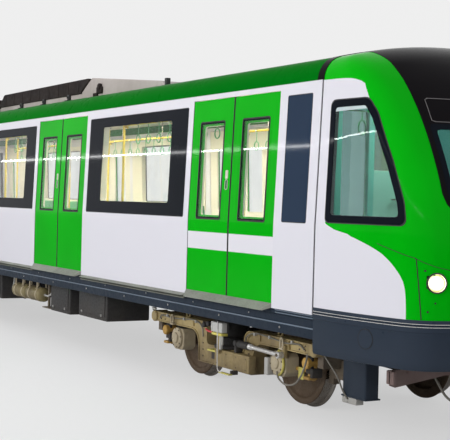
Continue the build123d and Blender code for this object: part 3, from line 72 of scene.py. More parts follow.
def piece(name, parts, material, body=CAR, replaces=(), closed=True, outward=None, sharp=35):
    """One object from a list of (points, faces); closed shells get their normals worked out."""
    points, faces, start = [], [], 0
    for p, f in parts:
        p = np.asarray(p, float).reshape(-1, 3)
        points.append(p)
        faces += [[k + start for k in q] for q in f]
        start += len(p)
    mesh = bpy.data.meshes.new(name)
    mesh.from_pydata((np.concatenate(points) + SHIFT).tolist(), [], faces)
    work = bmesh.new()
    work.from_mesh(mesh)
    bmesh.ops.remove_doubles(work, verts=work.verts, dist=2e-5)
    bmesh.ops.dissolve_degenerate(work, edges=work.edges, dist=1e-6)
    if closed:
        bmesh.ops.recalc_face_normals(work, faces=work.faces)
    elif outward is not None:
        centre = Vector(np.asarray(outward) + SHIFT)
        score = sum(f.normal.dot(f.calc_center_median() - centre) * f.calc_area() for f in work.faces)
        if score < 0:
            bmesh.ops.reverse_faces(work, faces=work.faces)
    work.to_mesh(mesh)
    work.free()
    mesh.shade_smooth()
    mesh.set_sharp_from_angle(angle=radians(sharp))
    thing = bpy.data.objects.new(name, mesh)
    bpy.context.scene.collection.objects.link(thing)
    mesh.materials.append(material)
    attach(thing, body)
    if replaces:
        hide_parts(*replaces)
    return thing


def block(lo, hi, r=0.008, n=1):
    """Box with rounded edges: corners of an inner box plus r along each point's direction."""
    lo, hi = np.minimum(lo, hi).astype(float), np.maximum(lo, hi).astype(float)
    r = min(r, (hi - lo).min() * 0.49)
    t = np.tan(np.linspace(0, pi / 4, n + 1))
    t = np.concatenate([-t[::-1], t])
    s = np.concatenate([-np.ones(n + 1), np.ones(n + 1)])
    a, b = np.meshgrid(t, t, indexing="ij")
    sa, sb = np.meshgrid(s, s, indexing="ij")
    parts, faces, m = [], [], len(t)
    for axis in range(3):
        for sign in (-1, 1):
            d = np.zeros((m, m, 3))
            c = np.zeros((m, m, 3))
            d[..., axis], c[..., axis] = sign, sign
            d[..., (axis + 1) % 3], c[..., (axis + 1) % 3] = a, sa
            d[..., (axis + 2) % 3], c[..., (axis + 2) % 3] = b, sb
            d /= np.linalg.norm(d, axis=-1, keepdims=True)
            inner = (lo + hi) / 2 + c * ((hi - lo) / 2 - r)
            faces += [[k + len(parts) * m * m for k in q] for q in quads(m, m)]
            parts.append((inner + r * d).reshape(-1, 3))
    return np.concatenate(parts), faces


def turned(shape, angle, axis, centre):
    """A shape turned about an axis through a centre, in degrees."""
    m = np.array(Matrix.Rotation(radians(angle), 3, axis))
    return (np.asarray(shape[0]) - centre) @ m.T + centre, shape[1]


def lathe(profile, centre, axis=(0, 0, 1), n=32):
    """Profile of (radius, height) turned round an axis through a centre, height along the axis."""
    axis = np.asarray(axis, float) / np.linalg.norm(axis)
    ref = np.array([0, 0, 1.0]) if abs(axis[2]) < 0.9 else np.array([1.0, 0, 0])
    u = np.cross(axis, ref)
    u /= np.linalg.norm(u)
    v = np.cross(axis, u)
    profile = np.asarray(profile, float)
    t = np.linspace(0, 2 * pi, n, endpoint=False)
    ring = np.cos(t)[:, None] * u + np.sin(t)[:, None] * v
    p = np.asarray(centre) + profile[None, :, :1] * ring[:, None, :] + profile[None, :, 1:] * axis
    return p.reshape(-1, 3), quads(n, len(profile), wrap_u=True, wrap_v=False)


def rod(a, b, r, n=16, edge=0.1):
    """Round bar from a to b with bevelled ends, a lathe about its own line."""
    a, b = np.asarray(a, float), np.asarray(b, float)
    h = np.linalg.norm(b - a)
    e = min(edge * r, h / 3)
    return lathe([(0, 0), (r - e, 0), (r, e), (r, h - e), (r - e, h), (0, h)], a, b - a, n)


def tube(path, r, n=10, ref=(0, 0, 1)):
    """Round tube along a path: rings square to the path's direction, closed by end points."""
    path = np.asarray(path, float)
    t = np.gradient(path, axis=0)
    t /= np.linalg.norm(t, axis=1, keepdims=True)
    u = np.cross(t, ref)
    u /= np.linalg.norm(u, axis=1, keepdims=True) + 1e-9
    v = np.cross(t, u)
    a = np.linspace(0, 2 * pi, n, endpoint=False)
    rings = path[:, None] + r * (np.cos(a)[None, :, None] * u[:, None] + np.sin(a)[None, :, None] * v[:,
              None])
    first, last = np.repeat(path[:1], n, 0)[None], np.repeat(path[-1:], n, 0)[None]
    p = np.concatenate([first, rings, last])
    return p.reshape(-1, 3), quads(len(p), n, wrap_v=True)


def smooth_path(points, n=8):
    """Catmull-Rom curve through points: cubic between neighbours, with ends repeated."""
    p = np.asarray(points, float)
    p = np.concatenate([p[:1] * 2 - p[1:2], p, p[-1:] * 2 - p[-2:-1]])
    t = np.linspace(0, 1, n, endpoint=False)[None, :, None]
    a, b, c, d = (p[k:len(p) - 3 + k][:, None] for k in range(4))
    q = 0.5 * (2 * b + (c - a) * t + (2 * a - 5 * b + 4 * c - d) * t ** 2 + (3 * b - a - 3 * c + d) * t ** 3)
    return np.concatenate([q.reshape(-1, p.shape[1]), p[-2:-1]])


def inset(outline, w):
    """Closed outline moved inwards by w: each side shifted, neighbours intersected (mitres)."""
    p = np.asarray(outline, float)
    area = np.sum(p[:, 0] * np.roll(p[:, 1], -1) - np.roll(p[:, 0], -1) * p[:, 1])
    d = np.roll(p, -1, 0) - p
    d /= np.linalg.norm(d, axis=1, keepdims=True) + 1e-12
    n = np.stack([-d[:, 1], d[:, 0]], 1) * np.sign(area)
    m = n + np.roll(n, 1, 0)
    scale = 2 / np.maximum((m ** 2).sum(1, keepdims=True), 0.6)
    return p + w * m * scale


def rounded(corners, r, n=6):
    """Closed outline with arcs for corners; r is one radius or one for each. Each arc is swept
    about the point on the corner's bisector that lies r from both sides."""
    p = np.asarray(corners, float)
    a, b = np.roll(p, 1, 0) - p, np.roll(p, -1, 0) - p
    la, lb = np.linalg.norm(a, axis=1), np.linalg.norm(b, axis=1)
    a, b = a / la[:, None], b / lb[:, None]
    half = np.arccos(np.clip((a * b).sum(1), -1, 1)) / 2
    cut = np.minimum(np.broadcast_to(r, len(p)) / np.tan(half), 0.48 * np.minimum(la, lb))
    r = cut * np.tan(half)
    middle = p + (a + b) / np.linalg.norm(a + b, axis=1)[:, None] * (r / np.sin(half))[:, None]
    start, end = p + a * cut[:, None] - middle, p + b * cut[:, None] - middle
    turn = pi - 2 * half
    t = np.linspace(0, 1, n)[None, :, None] * turn[:, None, None]
    s = np.sin(turn)[:, None, None]
    arc = (np.sin(turn[:, None, None] - t) * start[:, None] + np.sin(t) * end[:, None]) / s
    return (middle[:, None] + arc).reshape(-1, 2)


def prism(outline, place, low, high, edge=0.006):
    """Outline carried from low to high along a line; place turns (a, b, h) into x, y, z."""
    o = np.asarray(outline, float)
    rings = [(inset(o, edge), low), (o, low + edge), (o, high - edge), (inset(o, edge), high)]
    p = np.concatenate([np.stack(place(q[:, 0], q[:, 1], np.full(len(q), h)), -1) for q, h in rings])
    m = len(o)
    faces = quads(4, m, wrap_v=True) + [list(range(m)), list(range(3 * m, 4 * m))]
    return p, faces


def side_place(side):
    """Places outlines of (x, z) on planes across the car, with y = side times height."""
    return lambda a, b, h: (a, side * h, b)


def level_place(a, b, h):
    """Places outlines of (x, y) on level planes."""
    return a, b, h


def cross_place(side):
    """Places outlines of (y, z) on planes square to the car's length, y outwards on one side."""
    return lambda a, b, h: (h, side * a, b)


def ring_panel(outer, inner, surface, lift=0.0, m=4, depth=0.0):
    """Panel between two outlines on a surface: points run straight from outer to inner.
    With a depth it gets a rim that goes back into the surface."""
    outer, inner = np.asarray(outer, float), np.asarray(inner, float)
    t = np.linspace(0, 1, m)[:, None, None]
    flat = outer[None] * (1 - t) + inner[None] * t
    lifts = np.full(flat.shape[:2], lift)
    if depth:
        flat = np.concatenate([outer[None], flat, inner[None]])
        lifts = np.concatenate([lifts[:1] - depth, lifts, lifts[:1] - depth])
    p = surface(flat[..., 0], flat[..., 1], lifts)
    return np.stack(p, -1).reshape(-1, 3), quads(len(flat), flat.shape[1], wrap_v=True)


def disc_panel(outline, surface, lift=0.0, m=8):
    """Filled panel on a surface: rings of the outline drawn in towards its middle."""
    outline = np.asarray(outline, float)
    centre = outline.mean(0)
    inner = centre + (outline - centre) * 1e-3
    p, f = ring_panel(outline, inner, surface, lift, m)
    n = len(outline)
    return p, f + [list(range((m - 1) * n, m * n))]


def sheet_panel(outline, surface, lift=0.0, thick=0.006, m=6):
    """Closed sheet on a surface: a front disc, a back disc set in by its thickness, and a rim."""
    outline = np.asarray(outline, float)
    n = len(outline)
    front, faces = disc_panel(outline, surface, lift, m)
    back, _ = disc_panel(outline, surface, lift - thick, m)
    turned_faces = [[k + len(front) for k in q] for q in faces]
    rim = [[i, (i + 1) % n, len(front) + (i + 1) % n, len(front) + i] for i in range(n)]
    return np.concatenate([front, back]), faces + turned_faces + rim


def rect(x0, x1, z0, z1, r=0.02, n=5):
    """Rounded rectangle as a closed outline."""
    return rounded([(x0, z0), (x1, z0), (x1, z1), (x0, z1)], r, n)


# Materials
class Graph:
    """Short ways to add and join shader nodes."""

    def __init__(self, tree):
        self.tree = tree

    def node(self, kind, **sockets):
        """A new node, its properties and inputs set by name."""
        n = self.tree.nodes.new(kind)
        for key, value in sockets.items():
            if hasattr(n, key) and key not in n.inputs:
                setattr(n, key, value)
            else:
                self.put(n.inputs[key.replace("_", " ") if key.replace("_", " ") in n.inputs else key],
                         value)
        return n

    def put(self, socket, value):
        """Joins an output to an input, or sets the input's value."""
        if isinstance(value, bpy.types.NodeSocket):
            self.tree.links.new(value, socket)
        else:
            socket.default_value = value

    def join(self, kind, *values):
        """A node whose first inputs take the values in their order."""
        n = self.tree.nodes.new(kind)
        for socket, value in zip(n.inputs, values):
            self.put(socket, value)
        return n

    def math(self, operation, a, b=0.0, clamp=False):
        """One operation on two values."""
        n = self.join("ShaderNodeMath", a, b)
        n.operation, n.use_clamp = operation, clamp
        return n.outputs[0]

    def ramp(self, value, lo, hi, to_lo=0.0, to_hi=1.0, smooth=True):
        """A value carried from the span lo to hi to another span, held at both ends."""
        n = self.join("ShaderNodeMapRange", value, lo, hi, to_lo, to_hi)
        n.interpolation_type = "SMOOTHSTEP" if smooth else "LINEAR"
        return n.outputs[0]

    def mix(self, factor, a, b):
        """Colour between a and b by a factor."""
        n = self.tree.nodes.new("ShaderNodeMix")
        n.data_type = "RGBA"
        for k, value in ((0, factor), (6, a), (7, b)):
            self.put(n.inputs[k], value)
        return n.outputs[2]

    def noise(self, vector, scale, detail=3.0, rough=0.5):
        """Noise from 0 to 1 over places."""
        n = self.node("ShaderNodeTexNoise", Vector=vector, Scale=scale, Detail=detail, Roughness=rough)
        return n.outputs["Fac"]

    def stretched(self, vector, scale):
        """Places times a scale for each direction."""
        n = self.join("ShaderNodeVectorMath", vector, scale)
        n.operation = "MULTIPLY"
        return n.outputs[0]

    def apart(self, vector):
        """The x, y and z of places."""
        return self.join("ShaderNodeSeparateXYZ", vector).outputs


def make_group(name, inputs, outputs, build):
    """A shader node group with named inputs and outputs; build joins them."""
    tree = bpy.data.node_groups.new(name, "ShaderNodeTree")
    for key, kind, value in inputs:
        s = tree.interface.new_socket(name=key, in_out="INPUT", socket_type=kind)
        if value is not None:
            s.default_value = value
    for key, kind in outputs:
        tree.interface.new_socket(name=key, in_out="OUTPUT", socket_type=kind)
    g = Graph(tree)
    source = tree.nodes.new("NodeGroupInput")
    target = tree.nodes.new("NodeGroupOutput")
    for key, value in build(g, source.outputs).items():
        g.put(target.inputs[key], value)
    return tree


def weathering(g, i):
    """Mottle is slow noise; Dust is noise that grows towards a low height; Streaks are noise
    drawn out downwards; Height is fine grain plus slow waves."""
    v = i["Vector"]
    slow = g.noise(v, g.math("MULTIPLY", i["Scale"], 0.35), 2.0)
    fine = g.noise(v, g.math("MULTIPLY", i["Scale"], 6.0), 4.0, 0.6)
    z = g.apart(v)[2]
    low = g.ramp(z, i["Low"], i["High"], 1.0, 0.0, smooth=False)
    speck = g.noise(v, i["Scale"], 5.0, 0.65)
    dust = g.ramp(g.math("ADD", g.math("MULTIPLY", low, 0.75), g.math("MULTIPLY", speck, 0.55)), 0.45, 1.05)
    run = g.noise(g.stretched(v, (9.0, 9.0, 0.7)), 1.0, 3.0, 0.6)
    streak = g.math("MULTIPLY", g.ramp(run, 0.52, 0.75), i["Streak"])
    wave = g.noise(v, 0.9, 1.0)
    height = g.math("ADD", g.math("MULTIPLY", fine, i["Grain"]), g.math("MULTIPLY", wave, i["Wave"]))
    return {"Mottle": slow, "Dust": g.math("MULTIPLY", dust, i["Amount"]), "Streaks": streak, "Fine": fine,
            "Height": height}


WEATHER = make_group("weathering", [("Vector", "NodeSocketVector", None), ("Scale", "NodeSocketFloat", 3.0),
          ("Low", "NodeSocketFloat", 0.4), ("High", "NodeSocketFloat", 2.0),
          ("Amount", "NodeSocketFloat", 0.3), ("Streak", "NodeSocketFloat", 0.0),
          ("Grain", "NodeSocketFloat", 0.2), ("Wave", "NodeSocketFloat", 0.0)],
          [("Mottle", "NodeSocketFloat"), ("Dust", "NodeSocketFloat"), ("Streaks", "NodeSocketFloat"),
          ("Fine", "NodeSocketFloat"), ("Height", "NodeSocketFloat")], weathering)


def colour4(c):
    """Colour of three values with a full fourth."""
    return (c[0], c[1], c[2], 1.0)


def material(name, slot, colour, second, rough=0.4, rough_gap=0.15, metallic=0.0, coat=0.0,
          dust=(0.22, 0.19, 0.15), scale=3.0, low=0.3, high=2.0, amount=0.2, streak=0.0, grain=0.15,
          wave=0.0, bump=0.002, extra=None, emission=0.0, shine=0.5):
    """Finish from two colours mottled by noise, dust that lies low, streaks, and grain in the
    bump. extra(graph, vector, colour, rough) may change colour and roughness further."""
    m = bpy.data.materials.new(name)
    m.use_nodes = True
    m["slot"] = slot
    g = Graph(m.node_tree)
    shader = m.node_tree.nodes["Principled BSDF"]
    v = g.node("ShaderNodeTexCoord").outputs["Object"]
    w = m.node_tree.nodes.new("ShaderNodeGroup")
    w.node_tree = WEATHER
    for socket, value in zip(w.inputs, (v, scale, low, high, amount, streak, grain, wave)):
        g.put(socket, value)
    base = g.mix(g.ramp(w.outputs["Mottle"], 0.3, 0.7), colour4(colour), colour4(second))
    if streak:
        base = g.mix(g.math("MULTIPLY", w.outputs["Streaks"], 0.5), base, colour4(dust))
    r = g.ramp(w.outputs["Fine"], 0.3, 0.7, rough - rough_gap / 2, rough + rough_gap / 2)
    if extra:
        base, r = extra(g, v, base, r)
    if amount:
        base = g.mix(w.outputs["Dust"], base, colour4(dust))
        r = g.math("ADD", r, g.math("MULTIPLY", w.outputs["Dust"], 0.4), clamp=True)
    g.put(shader.inputs["Base Color"], base)
    g.put(shader.inputs["Roughness"], r)
    shader.inputs["Metallic"].default_value = metallic
    shader.inputs["Coat Weight"].default_value = coat
    shader.inputs["Coat Roughness"].default_value = 0.08
    shader.inputs["Specular IOR Level"].default_value = shine
    b = g.node("ShaderNodeBump", Strength=0.35, Distance=bump, Height=w.outputs["Height"])
    g.put(shader.inputs["Normal"], b.outputs[0])
    if emission:
        g.put(shader.inputs["Emission Color"], base)
        shader.inputs["Emission Strength"].default_value = emission
    return m


def glass(name, slot, tint, rough=0.01, ior=1.2, grimy=0.02):
    """Sheet of tinted glass: transmits its tint, with faint noise in its roughness."""
    m = bpy.data.materials.new(name)
    m.use_nodes = True
    m["slot"] = slot
    g = Graph(m.node_tree)
    shader = m.node_tree.nodes["Principled BSDF"]
    v = g.node("ShaderNodeTexCoord").outputs["Object"]
    speck = g.noise(v, 2.5, 4.0)
    g.put(shader.inputs["Base Color"], g.mix(g.ramp(speck, 0.4, 0.8), colour4(tint),
              colour4([c * 0.94 for c in tint])))
    g.put(shader.inputs["Roughness"], g.ramp(speck, 0.3, 0.8, rough, rough + grimy))
    shader.inputs["Transmission Weight"].default_value = 1.0
    shader.inputs["IOR"].default_value = ior
    return m


GREEN = (0.0, 0.43, 0.004)
GREEN_DEEP = (0.0, 0.36, 0.003)
WHITE = (0.7, 0.69, 0.74)
WHITE_SOFT = (0.685, 0.677, 0.732)

# In the row's frame: heights of the white band, place behind which it ends, and a leaf's thickness
DOOR_BAND, FIRST_DOORS, LEAF = (1.498, 1.673), 4.0, 0.04


def stripe(g, v, base, rough):
    """White band across the first pair of doors, and the lining's colour on the leaves' inner faces."""
    x, y, z = g.apart(v)
    low, high = DOOR_BAND
    band = g.math("MULTIPLY", g.math("GREATER_THAN", z, low), g.math("LESS_THAN", z, high))
    first = g.math("MULTIPLY", band, g.math("GREATER_THAN", x, FIRST_DOORS))
    above = g.math("MAXIMUM", g.math("SUBTRACT", z, WAIST + SHIFT[2]), 0.0)
    out = g.math("ADD", g.math("ABSOLUTE", y), g.math("MULTIPLY", above, tan(LEAN)))
    inner = g.math("LESS_THAN", out, HALF - LEAF)
    return g.mix(inner, g.mix(first, base, colour4(WHITE)), colour4((0.72, 0.69, 0.6))), rough


def lamp_fade(g, v, base, rough):
    """Lamp's glow: warm white about its middle, fading to a deep yellow at its rim."""
    _, y, z = g.apart(v)
    across = g.math("SUBTRACT", g.math("ABSOLUTE", y), LAMP[1])
    high = g.math("SUBTRACT", z, LAMP[2] + SHIFT[2])
    away = g.math("SQRT", g.math("ADD", g.math("MULTIPLY", across, across), g.math("MULTIPLY", high, high)))
    return g.mix(g.ramp(away, 0.022, 0.064), base, colour4((0.16, 0.125, 0.035))), rough


# Finishes
paint_green = material("green_body_paint", "green_paint", GREEN, GREEN_DEEP, 0.06, 0.02, shine=0.045,
          amount=0.0, low=0.9, high=2.0, grain=0.04, wave=0.8, bump=0.003, scale=2.0,
          dust=(0.08, 0.3, 0.06))
paint_door = material("green_door_paint", "green_paint", GREEN, GREEN_DEEP, 0.06, 0.02, shine=0.045,
          amount=0.0, low=0.9, high=2.0, grain=0.04, wave=0.6, bump=0.003, scale=2.0, extra=stripe,
          dust=(0.08, 0.3, 0.06))
# Roof green, much deeper than the body's green: painted shade for the dim light on the roof from above
paint_roof = material("green_roof_paint", "roof_paint", (0.0, 0.16, 0.006), (0.0, 0.14, 0.006), 0.3, 0.08,
          shine=0.003, amount=0.03, low=0.9, high=3.6, grain=0.01, wave=0.8, bump=0.003,
          dust=(0.02, 0.12, 0.02), scale=0.5)
paint_white = material("white_body_paint", "white_paint", WHITE, WHITE_SOFT, 0.1, 0.02, shine=0.1,
          amount=0.0, grain=0.0, wave=0.2, bump=0.001, scale=0.6, dust=(0.5, 0.48, 0.46))
mask_black = material("black_front_paint", "black_mask", (0.006, 0.005, 0.006), (0.009, 0.008, 0.009), 0.16,
          0.08, shine=0.02, amount=0.02, grain=0.03, wave=0.5, bump=0.003, dust=(0.03, 0.03, 0.03))
frit_black = material("black_window_border", "black_mask", (0.004, 0.006, 0.01), (0.006, 0.008, 0.013),
          0.05, 0.02, shine=0.035, amount=0.01, grain=0.02, wave=0.3, bump=0.002, dust=(0.03, 0.03, 0.04))
frit_blue = material("dark_narrow_glass", "tinted_glass", (0.01, 0.026, 0.058), (0.013, 0.031, 0.066), 0.05,
          0.02, shine=0.1, amount=0.02, grain=0.02, wave=0.3, bump=0.002, dust=(0.04, 0.05, 0.07))
dark_paint = material("dark_sole_paint", "dark_paint", (0.015, 0.024, 0.039), (0.021, 0.031, 0.048), 0.42,
          0.2, shine=0.08, amount=0.2, low=0.5, high=1.4, grain=0.15, wave=0.4, streak=0.15,
          dust=(0.05, 0.052, 0.055))
bumper_paint = material("dark_bumper_paint", "dark_paint", (0.017, 0.027, 0.043), (0.022, 0.032, 0.05),
          0.34, 0.15, shine=0.15, amount=0.12, low=0.5, high=1.4, grain=0.1, wave=0.5,
          dust=(0.07, 0.075, 0.085))
grey_unit = material("grey_unit_paint", "unit_paint", (0.36, 0.36, 0.38), (0.28, 0.27, 0.27), 0.5, 0.2,
          amount=0.35, low=2.8, high=4.4, grain=0.2, dust=(0.16, 0.12, 0.1), streak=0.4)
unit_top = material("dark_unit_cover", "dark_paint", (0.01, 0.008, 0.009), (0.019, 0.015, 0.016), 0.55, 0.2,
          shine=0.05, amount=0.4, low=2.8, high=4.6, grain=0.2, dust=(0.09, 0.07, 0.06))
cream = material("cream_underframe_paint", "cream_paint", (0.43, 0.335, 0.15), (0.26, 0.195, 0.09), 0.5,
          0.25, amount=0.8, low=0.1, high=1.1, grain=0.35, streak=0.8, dust=(0.1, 0.072, 0.045), scale=6.0)
cast_dirty = material("dirty_casting", "cast", (0.2, 0.165, 0.115), (0.13, 0.105, 0.08), 0.6, 0.3,
          amount=0.6, low=0.1, high=1.0, grain=0.6, dust=(0.075, 0.055, 0.04), scale=8.0, metallic=0.2)
under_dark = material("dark_underfloor_paint", "dark_paint", (0.018, 0.019, 0.022), (0.03, 0.029, 0.028),
          0.6, 0.25, amount=0.5, low=0.2, high=1.1, grain=0.3, dust=(0.07, 0.058, 0.048), scale=6.0)
steel = material("bright_steel", "steel", (0.55, 0.54, 0.52), (0.46, 0.44, 0.42), 0.28, 0.2, metallic=1.0,
          amount=0.15, low=0.0, high=1.0, grain=0.2, scale=12.0)
tread = material("polished_tread", "wheel_steel", (0.5, 0.47, 0.43), (0.38, 0.34, 0.3), 0.25, 0.2,
          metallic=1.0, amount=0.2, low=0.0, high=0.8, grain=0.25, scale=14.0, dust=(0.14, 0.09, 0.06))
wheel_paint = material("worn_wheel_steel", "wheel_steel", (0.12, 0.085, 0.055), (0.18, 0.135, 0.095), 0.5,
          0.25, metallic=0.5, amount=0.5, low=0.0, high=1.0, grain=0.5, scale=10.0,
          dust=(0.075, 0.046, 0.028))
step_metal = material("worn_step_metal", "step_metal", (0.29, 0.31, 0.265), (0.22, 0.23, 0.2), 0.42, 0.25,
          metallic=0.6, amount=0.3, low=0.8, high=1.2, grain=0.3, scale=9.0, dust=(0.2, 0.18, 0.15))
rubber = material("black_rubber", "seal", (0.012, 0.012, 0.013), (0.02, 0.02, 0.021), 0.6, 0.2, amount=0.15,
          grain=0.3, scale=9.0, dust=(0.06, 0.055, 0.05))
bellows_cloth = material("bellows_fabric", "bellows", (0.035, 0.036, 0.04), (0.05, 0.05, 0.054), 0.75, 0.15,
          amount=0.3, grain=0.6, scale=14.0, dust=(0.1, 0.09, 0.08))
gap_dark = material("dark_gap", "seal", (0.006, 0.006, 0.007), (0.01, 0.01, 0.01), 0.7, 0.1, amount=0.0,
          grain=0.2)
lining = material("warm_lining", "interior_panel", (0.74, 0.7, 0.58), (0.68, 0.64, 0.53), 0.35, 0.1,
          amount=0.05, grain=0.1, dust=(0.4, 0.35, 0.28))
teal = material("teal_partition_paint", "teal_panel", (0.1, 0.36, 0.33), (0.08, 0.31, 0.29), 0.35, 0.1,
          amount=0.05, grain=0.1)
seat_green = material("moulded_seat", "seat_shell", (0.05, 0.3, 0.12), (0.04, 0.26, 0.1), 0.38, 0.1,
          amount=0.05, grain=0.25, scale=10.0)
pole_yellow = material("yellow_pole", "pole", (0.75, 0.58, 0.06), (0.7, 0.53, 0.05), 0.25, 0.08, amount=0.0,
          grain=0.1)
floor_rubber = material("floor_covering", "floor", (0.12, 0.12, 0.13), (0.16, 0.16, 0.165), 0.6, 0.2,
          amount=0.1, low=0.9, high=1.3, grain=0.5, scale=12.0)
desk_grey = material("desk_plastic", "interior_panel", (0.07, 0.075, 0.085), (0.09, 0.095, 0.105), 0.5,
          0.15, amount=0.1, grain=0.4, scale=16.0)
red_plastic = material("red_handle", "seat_shell", (0.55, 0.03, 0.04), (0.48, 0.025, 0.03), 0.4, 0.1,
          amount=0.2, low=0.1, high=1.0, grain=0.1)
yellow_plate = material("yellow_plate", "cream_paint", (0.62, 0.56, 0.12), (0.55, 0.48, 0.1), 0.45, 0.2,
          amount=0.3, low=0.1, high=0.9, grain=0.2)
grey_hose = material("grey_hose", "seal", (0.2, 0.19, 0.17), (0.15, 0.14, 0.12), 0.55, 0.2, amount=0.3,
          low=0.1, high=1.0, grain=0.3, scale=20.0)
lamp_glow = material("lamp_glow", "lamp", (1.0, 0.97, 0.8), (1.0, 0.95, 0.76), 0.3, 0.05, amount=0.0,
          grain=0.05, emission=6.0, extra=lamp_fade)
light_panel = material("ceiling_light", "lamp", (1.0, 0.94, 0.78), (1.0, 0.92, 0.74), 0.4, 0.05, amount=0.0,
          grain=0.05, emission=22.0)
chrome_dish = material("lamp_reflector", "lamp", (0.8, 0.8, 0.8), (0.7, 0.7, 0.7), 0.12, 0.05, metallic=1.0,
          amount=0.0, grain=0.05)
mint = material("mint_post_paint", "teal_panel", (0.14, 0.55, 0.45), (0.12, 0.49, 0.4), 0.35, 0.1,
          amount=0.05, grain=0.1)
mint_pale = material("pale_door_panel", "teal_panel", (0.36, 0.7, 0.58), (0.31, 0.64, 0.52), 0.3, 0.1,
          amount=0.05, grain=0.1)
mint_grey = material("cab_lining_plastic", "interior_panel", (0.06, 0.15, 0.15), (0.05, 0.12, 0.12), 0.5,
          0.15, amount=0.1, grain=0.4, scale=16.0)
silver_plate = material("brushed_button_plate", "steel", (0.62, 0.62, 0.52), (0.52, 0.53, 0.44), 0.35, 0.15,
          metallic=0.6, amount=0.1, low=0.9, high=2.4, grain=0.2, scale=20.0)
button_green = material("green_push_button", "seal", (0.01, 0.1, 0.03), (0.012, 0.08, 0.025), 0.3, 0.1,
          amount=0.05, grain=0.1, scale=20.0)
# Pale blue-grey strips along the sole bar's ridge and lips: painted highlights
sole_edge = material("worn_sole_edge", "dark_paint", (0.12, 0.16, 0.21), (0.17, 0.21, 0.26), 0.35, 0.2,
          shine=0.3, amount=0.2, low=0.5, high=1.4, grain=0.15, streak=0.2, dust=(0.08, 0.08, 0.085),
          scale=4.0)
pink_dust = material("dusty_guard_plate", "cast", (0.21, 0.145, 0.135), (0.15, 0.1, 0.09), 0.55, 0.25,
          amount=0.4, low=0.1, high=0.9, grain=0.35, scale=6.0, dust=(0.12, 0.085, 0.07), streak=0.3)
brass = material("brass_air_end", "steel", (0.55, 0.42, 0.18), (0.45, 0.33, 0.14), 0.3, 0.15, metallic=1.0,
          amount=0.2, low=0.2, high=1.0, grain=0.2, scale=14.0)
grip_green = material("green_grip", "seat_shell", (0.04, 0.34, 0.12), (0.035, 0.3, 0.1), 0.35, 0.1,
          amount=0.0, grain=0.1)
cover_cream = material("pale_axle_box_paint", "cast", (0.5, 0.43, 0.3), (0.36, 0.3, 0.2), 0.5, 0.25,
          amount=0.45, low=0.1, high=0.8, grain=0.4, streak=0.4, scale=9.0, dust=(0.12, 0.09, 0.06))
pale_box = material("pale_box_paint", "cast", (0.52, 0.52, 0.5), (0.42, 0.42, 0.4), 0.45, 0.2, amount=0.35,
          low=0.1, high=1.0, grain=0.25, scale=10.0, dust=(0.16, 0.13, 0.1))
silver_rod = material("silver_rod", "steel", (0.74, 0.73, 0.71), (0.62, 0.61, 0.59), 0.32, 0.15,
          metallic=0.5, amount=0.15, low=0.1, high=0.9, grain=0.1, scale=14.0, dust=(0.25, 0.2, 0.15))
# Tank cream, darkened partly by dirt and partly as painted shade under the floor
tank_cream = material("dirty_tank_paint", "cream_paint", (0.27, 0.225, 0.1), (0.15, 0.12, 0.06), 0.5, 0.25,
          amount=0.7, low=0.1, high=1.1, grain=0.35, streak=0.5, dust=(0.1, 0.075, 0.05), scale=6.0)
ochre_paint = material("ochre_brake_paint", "cream_paint", (0.52, 0.31, 0.07), (0.33, 0.19, 0.05), 0.5,
          0.25, amount=0.35, low=0.1, high=0.9, grain=0.4, scale=9.0, dust=(0.12, 0.08, 0.05))
unit_pale = material("pale_unit_paint", "unit_paint", (0.5, 0.45, 0.43), (0.4, 0.35, 0.33), 0.5, 0.2,
          amount=0.25, low=2.9, high=4.2, grain=0.2, streak=0.4, scale=2.0, dust=(0.2, 0.15, 0.12))
frame_line = material("display_frame_line", "steel", (0.2, 0.19, 0.19), (0.16, 0.15, 0.15), 0.4, 0.15,
          amount=0.05, grain=0.1)
saloon_glass = glass("saloon_glass", "tinted_glass", (0.965, 0.98, 0.965))
partition_glass = glass("partition_glass", "tinted_glass", (0.22, 0.33, 0.33))
cab_glass_tint = glass("cab_glass", "clear_glass", (0.8, 0.96, 0.92))
lamp_glass = glass("lamp_glass", "lamp", (0.95, 0.96, 0.97))


# Body surfaces
def side_half(z):
    """Half width of the saloon at a height: upright to the waist, then leaning in."""
    return HALF - np.maximum(z - WAIST, 0) * tan(LEAN)


def saloon_surface(side):
    """Surface of one saloon side as a function of (x, z, lift)."""
    return lambda x, z, lift: (x, side * (side_half(z) + lift), z + 0 * x)


TAPER, BOW, EDGE_R = 4.51, 3.2, 0.135
RAY_Z, SEAM, FORM_LEVEL = 2.2, 0.012, 1.0
NOSE = np.array([(0.5, 1.48), (1.905, 1.465), (2.25, 1.345), (2.6, 1.175), (2.9, 0.98), (3.13, 0.77),
          (3.3, 0.52), (3.43, 0.23), (3.6, -0.2)])


def nose_place(z):
    """Nose place on the centre line at a height: the table's line, averaged over a span of heights."""
    steps = np.linspace(-0.13, 0.13, 9)
    return sum(np.interp(z + s, NOSE[:, 0], NOSE[:, 1]) for s in steps) / len(steps)


def cab_field(x, y, z):
    """Less than 0 inside the cab: the rounded overlap of the body section, whose sides draw in
    along a wide arc, and the bowed front, which rakes back with height."""
    narrow = TAPER - np.sqrt(TAPER ** 2 - np.clip(x, 0, 2.5) ** 2)
    ay = np.abs(y) + narrow
    lean = (ay - side_half(z)) * cos(LEAN)
    angle = np.arctan2(z - ARC_Z, ay - ARC_Y)
    arc = np.hypot(ay - ARC_Y, z - ARC_Z) - SHOULDER
    end = END_Y - narrow
    h = ROOF - END_Z
    radius = (end ** 2 + h ** 2) / (2 * h)
    crown = np.hypot(y, z - ROOF + radius) - radius
    a = np.where(angle < LEAN, lean, np.where(angle < pi / 2 - SLOPE, arc, crown))
    b = np.hypot(x - nose_place(z) + BOW, y) - BOW
    r = EDGE_R
    return np.minimum(np.maximum(a, b), -r) + np.hypot(np.maximum(a + r, 0), np.maximum(b + r, 0))


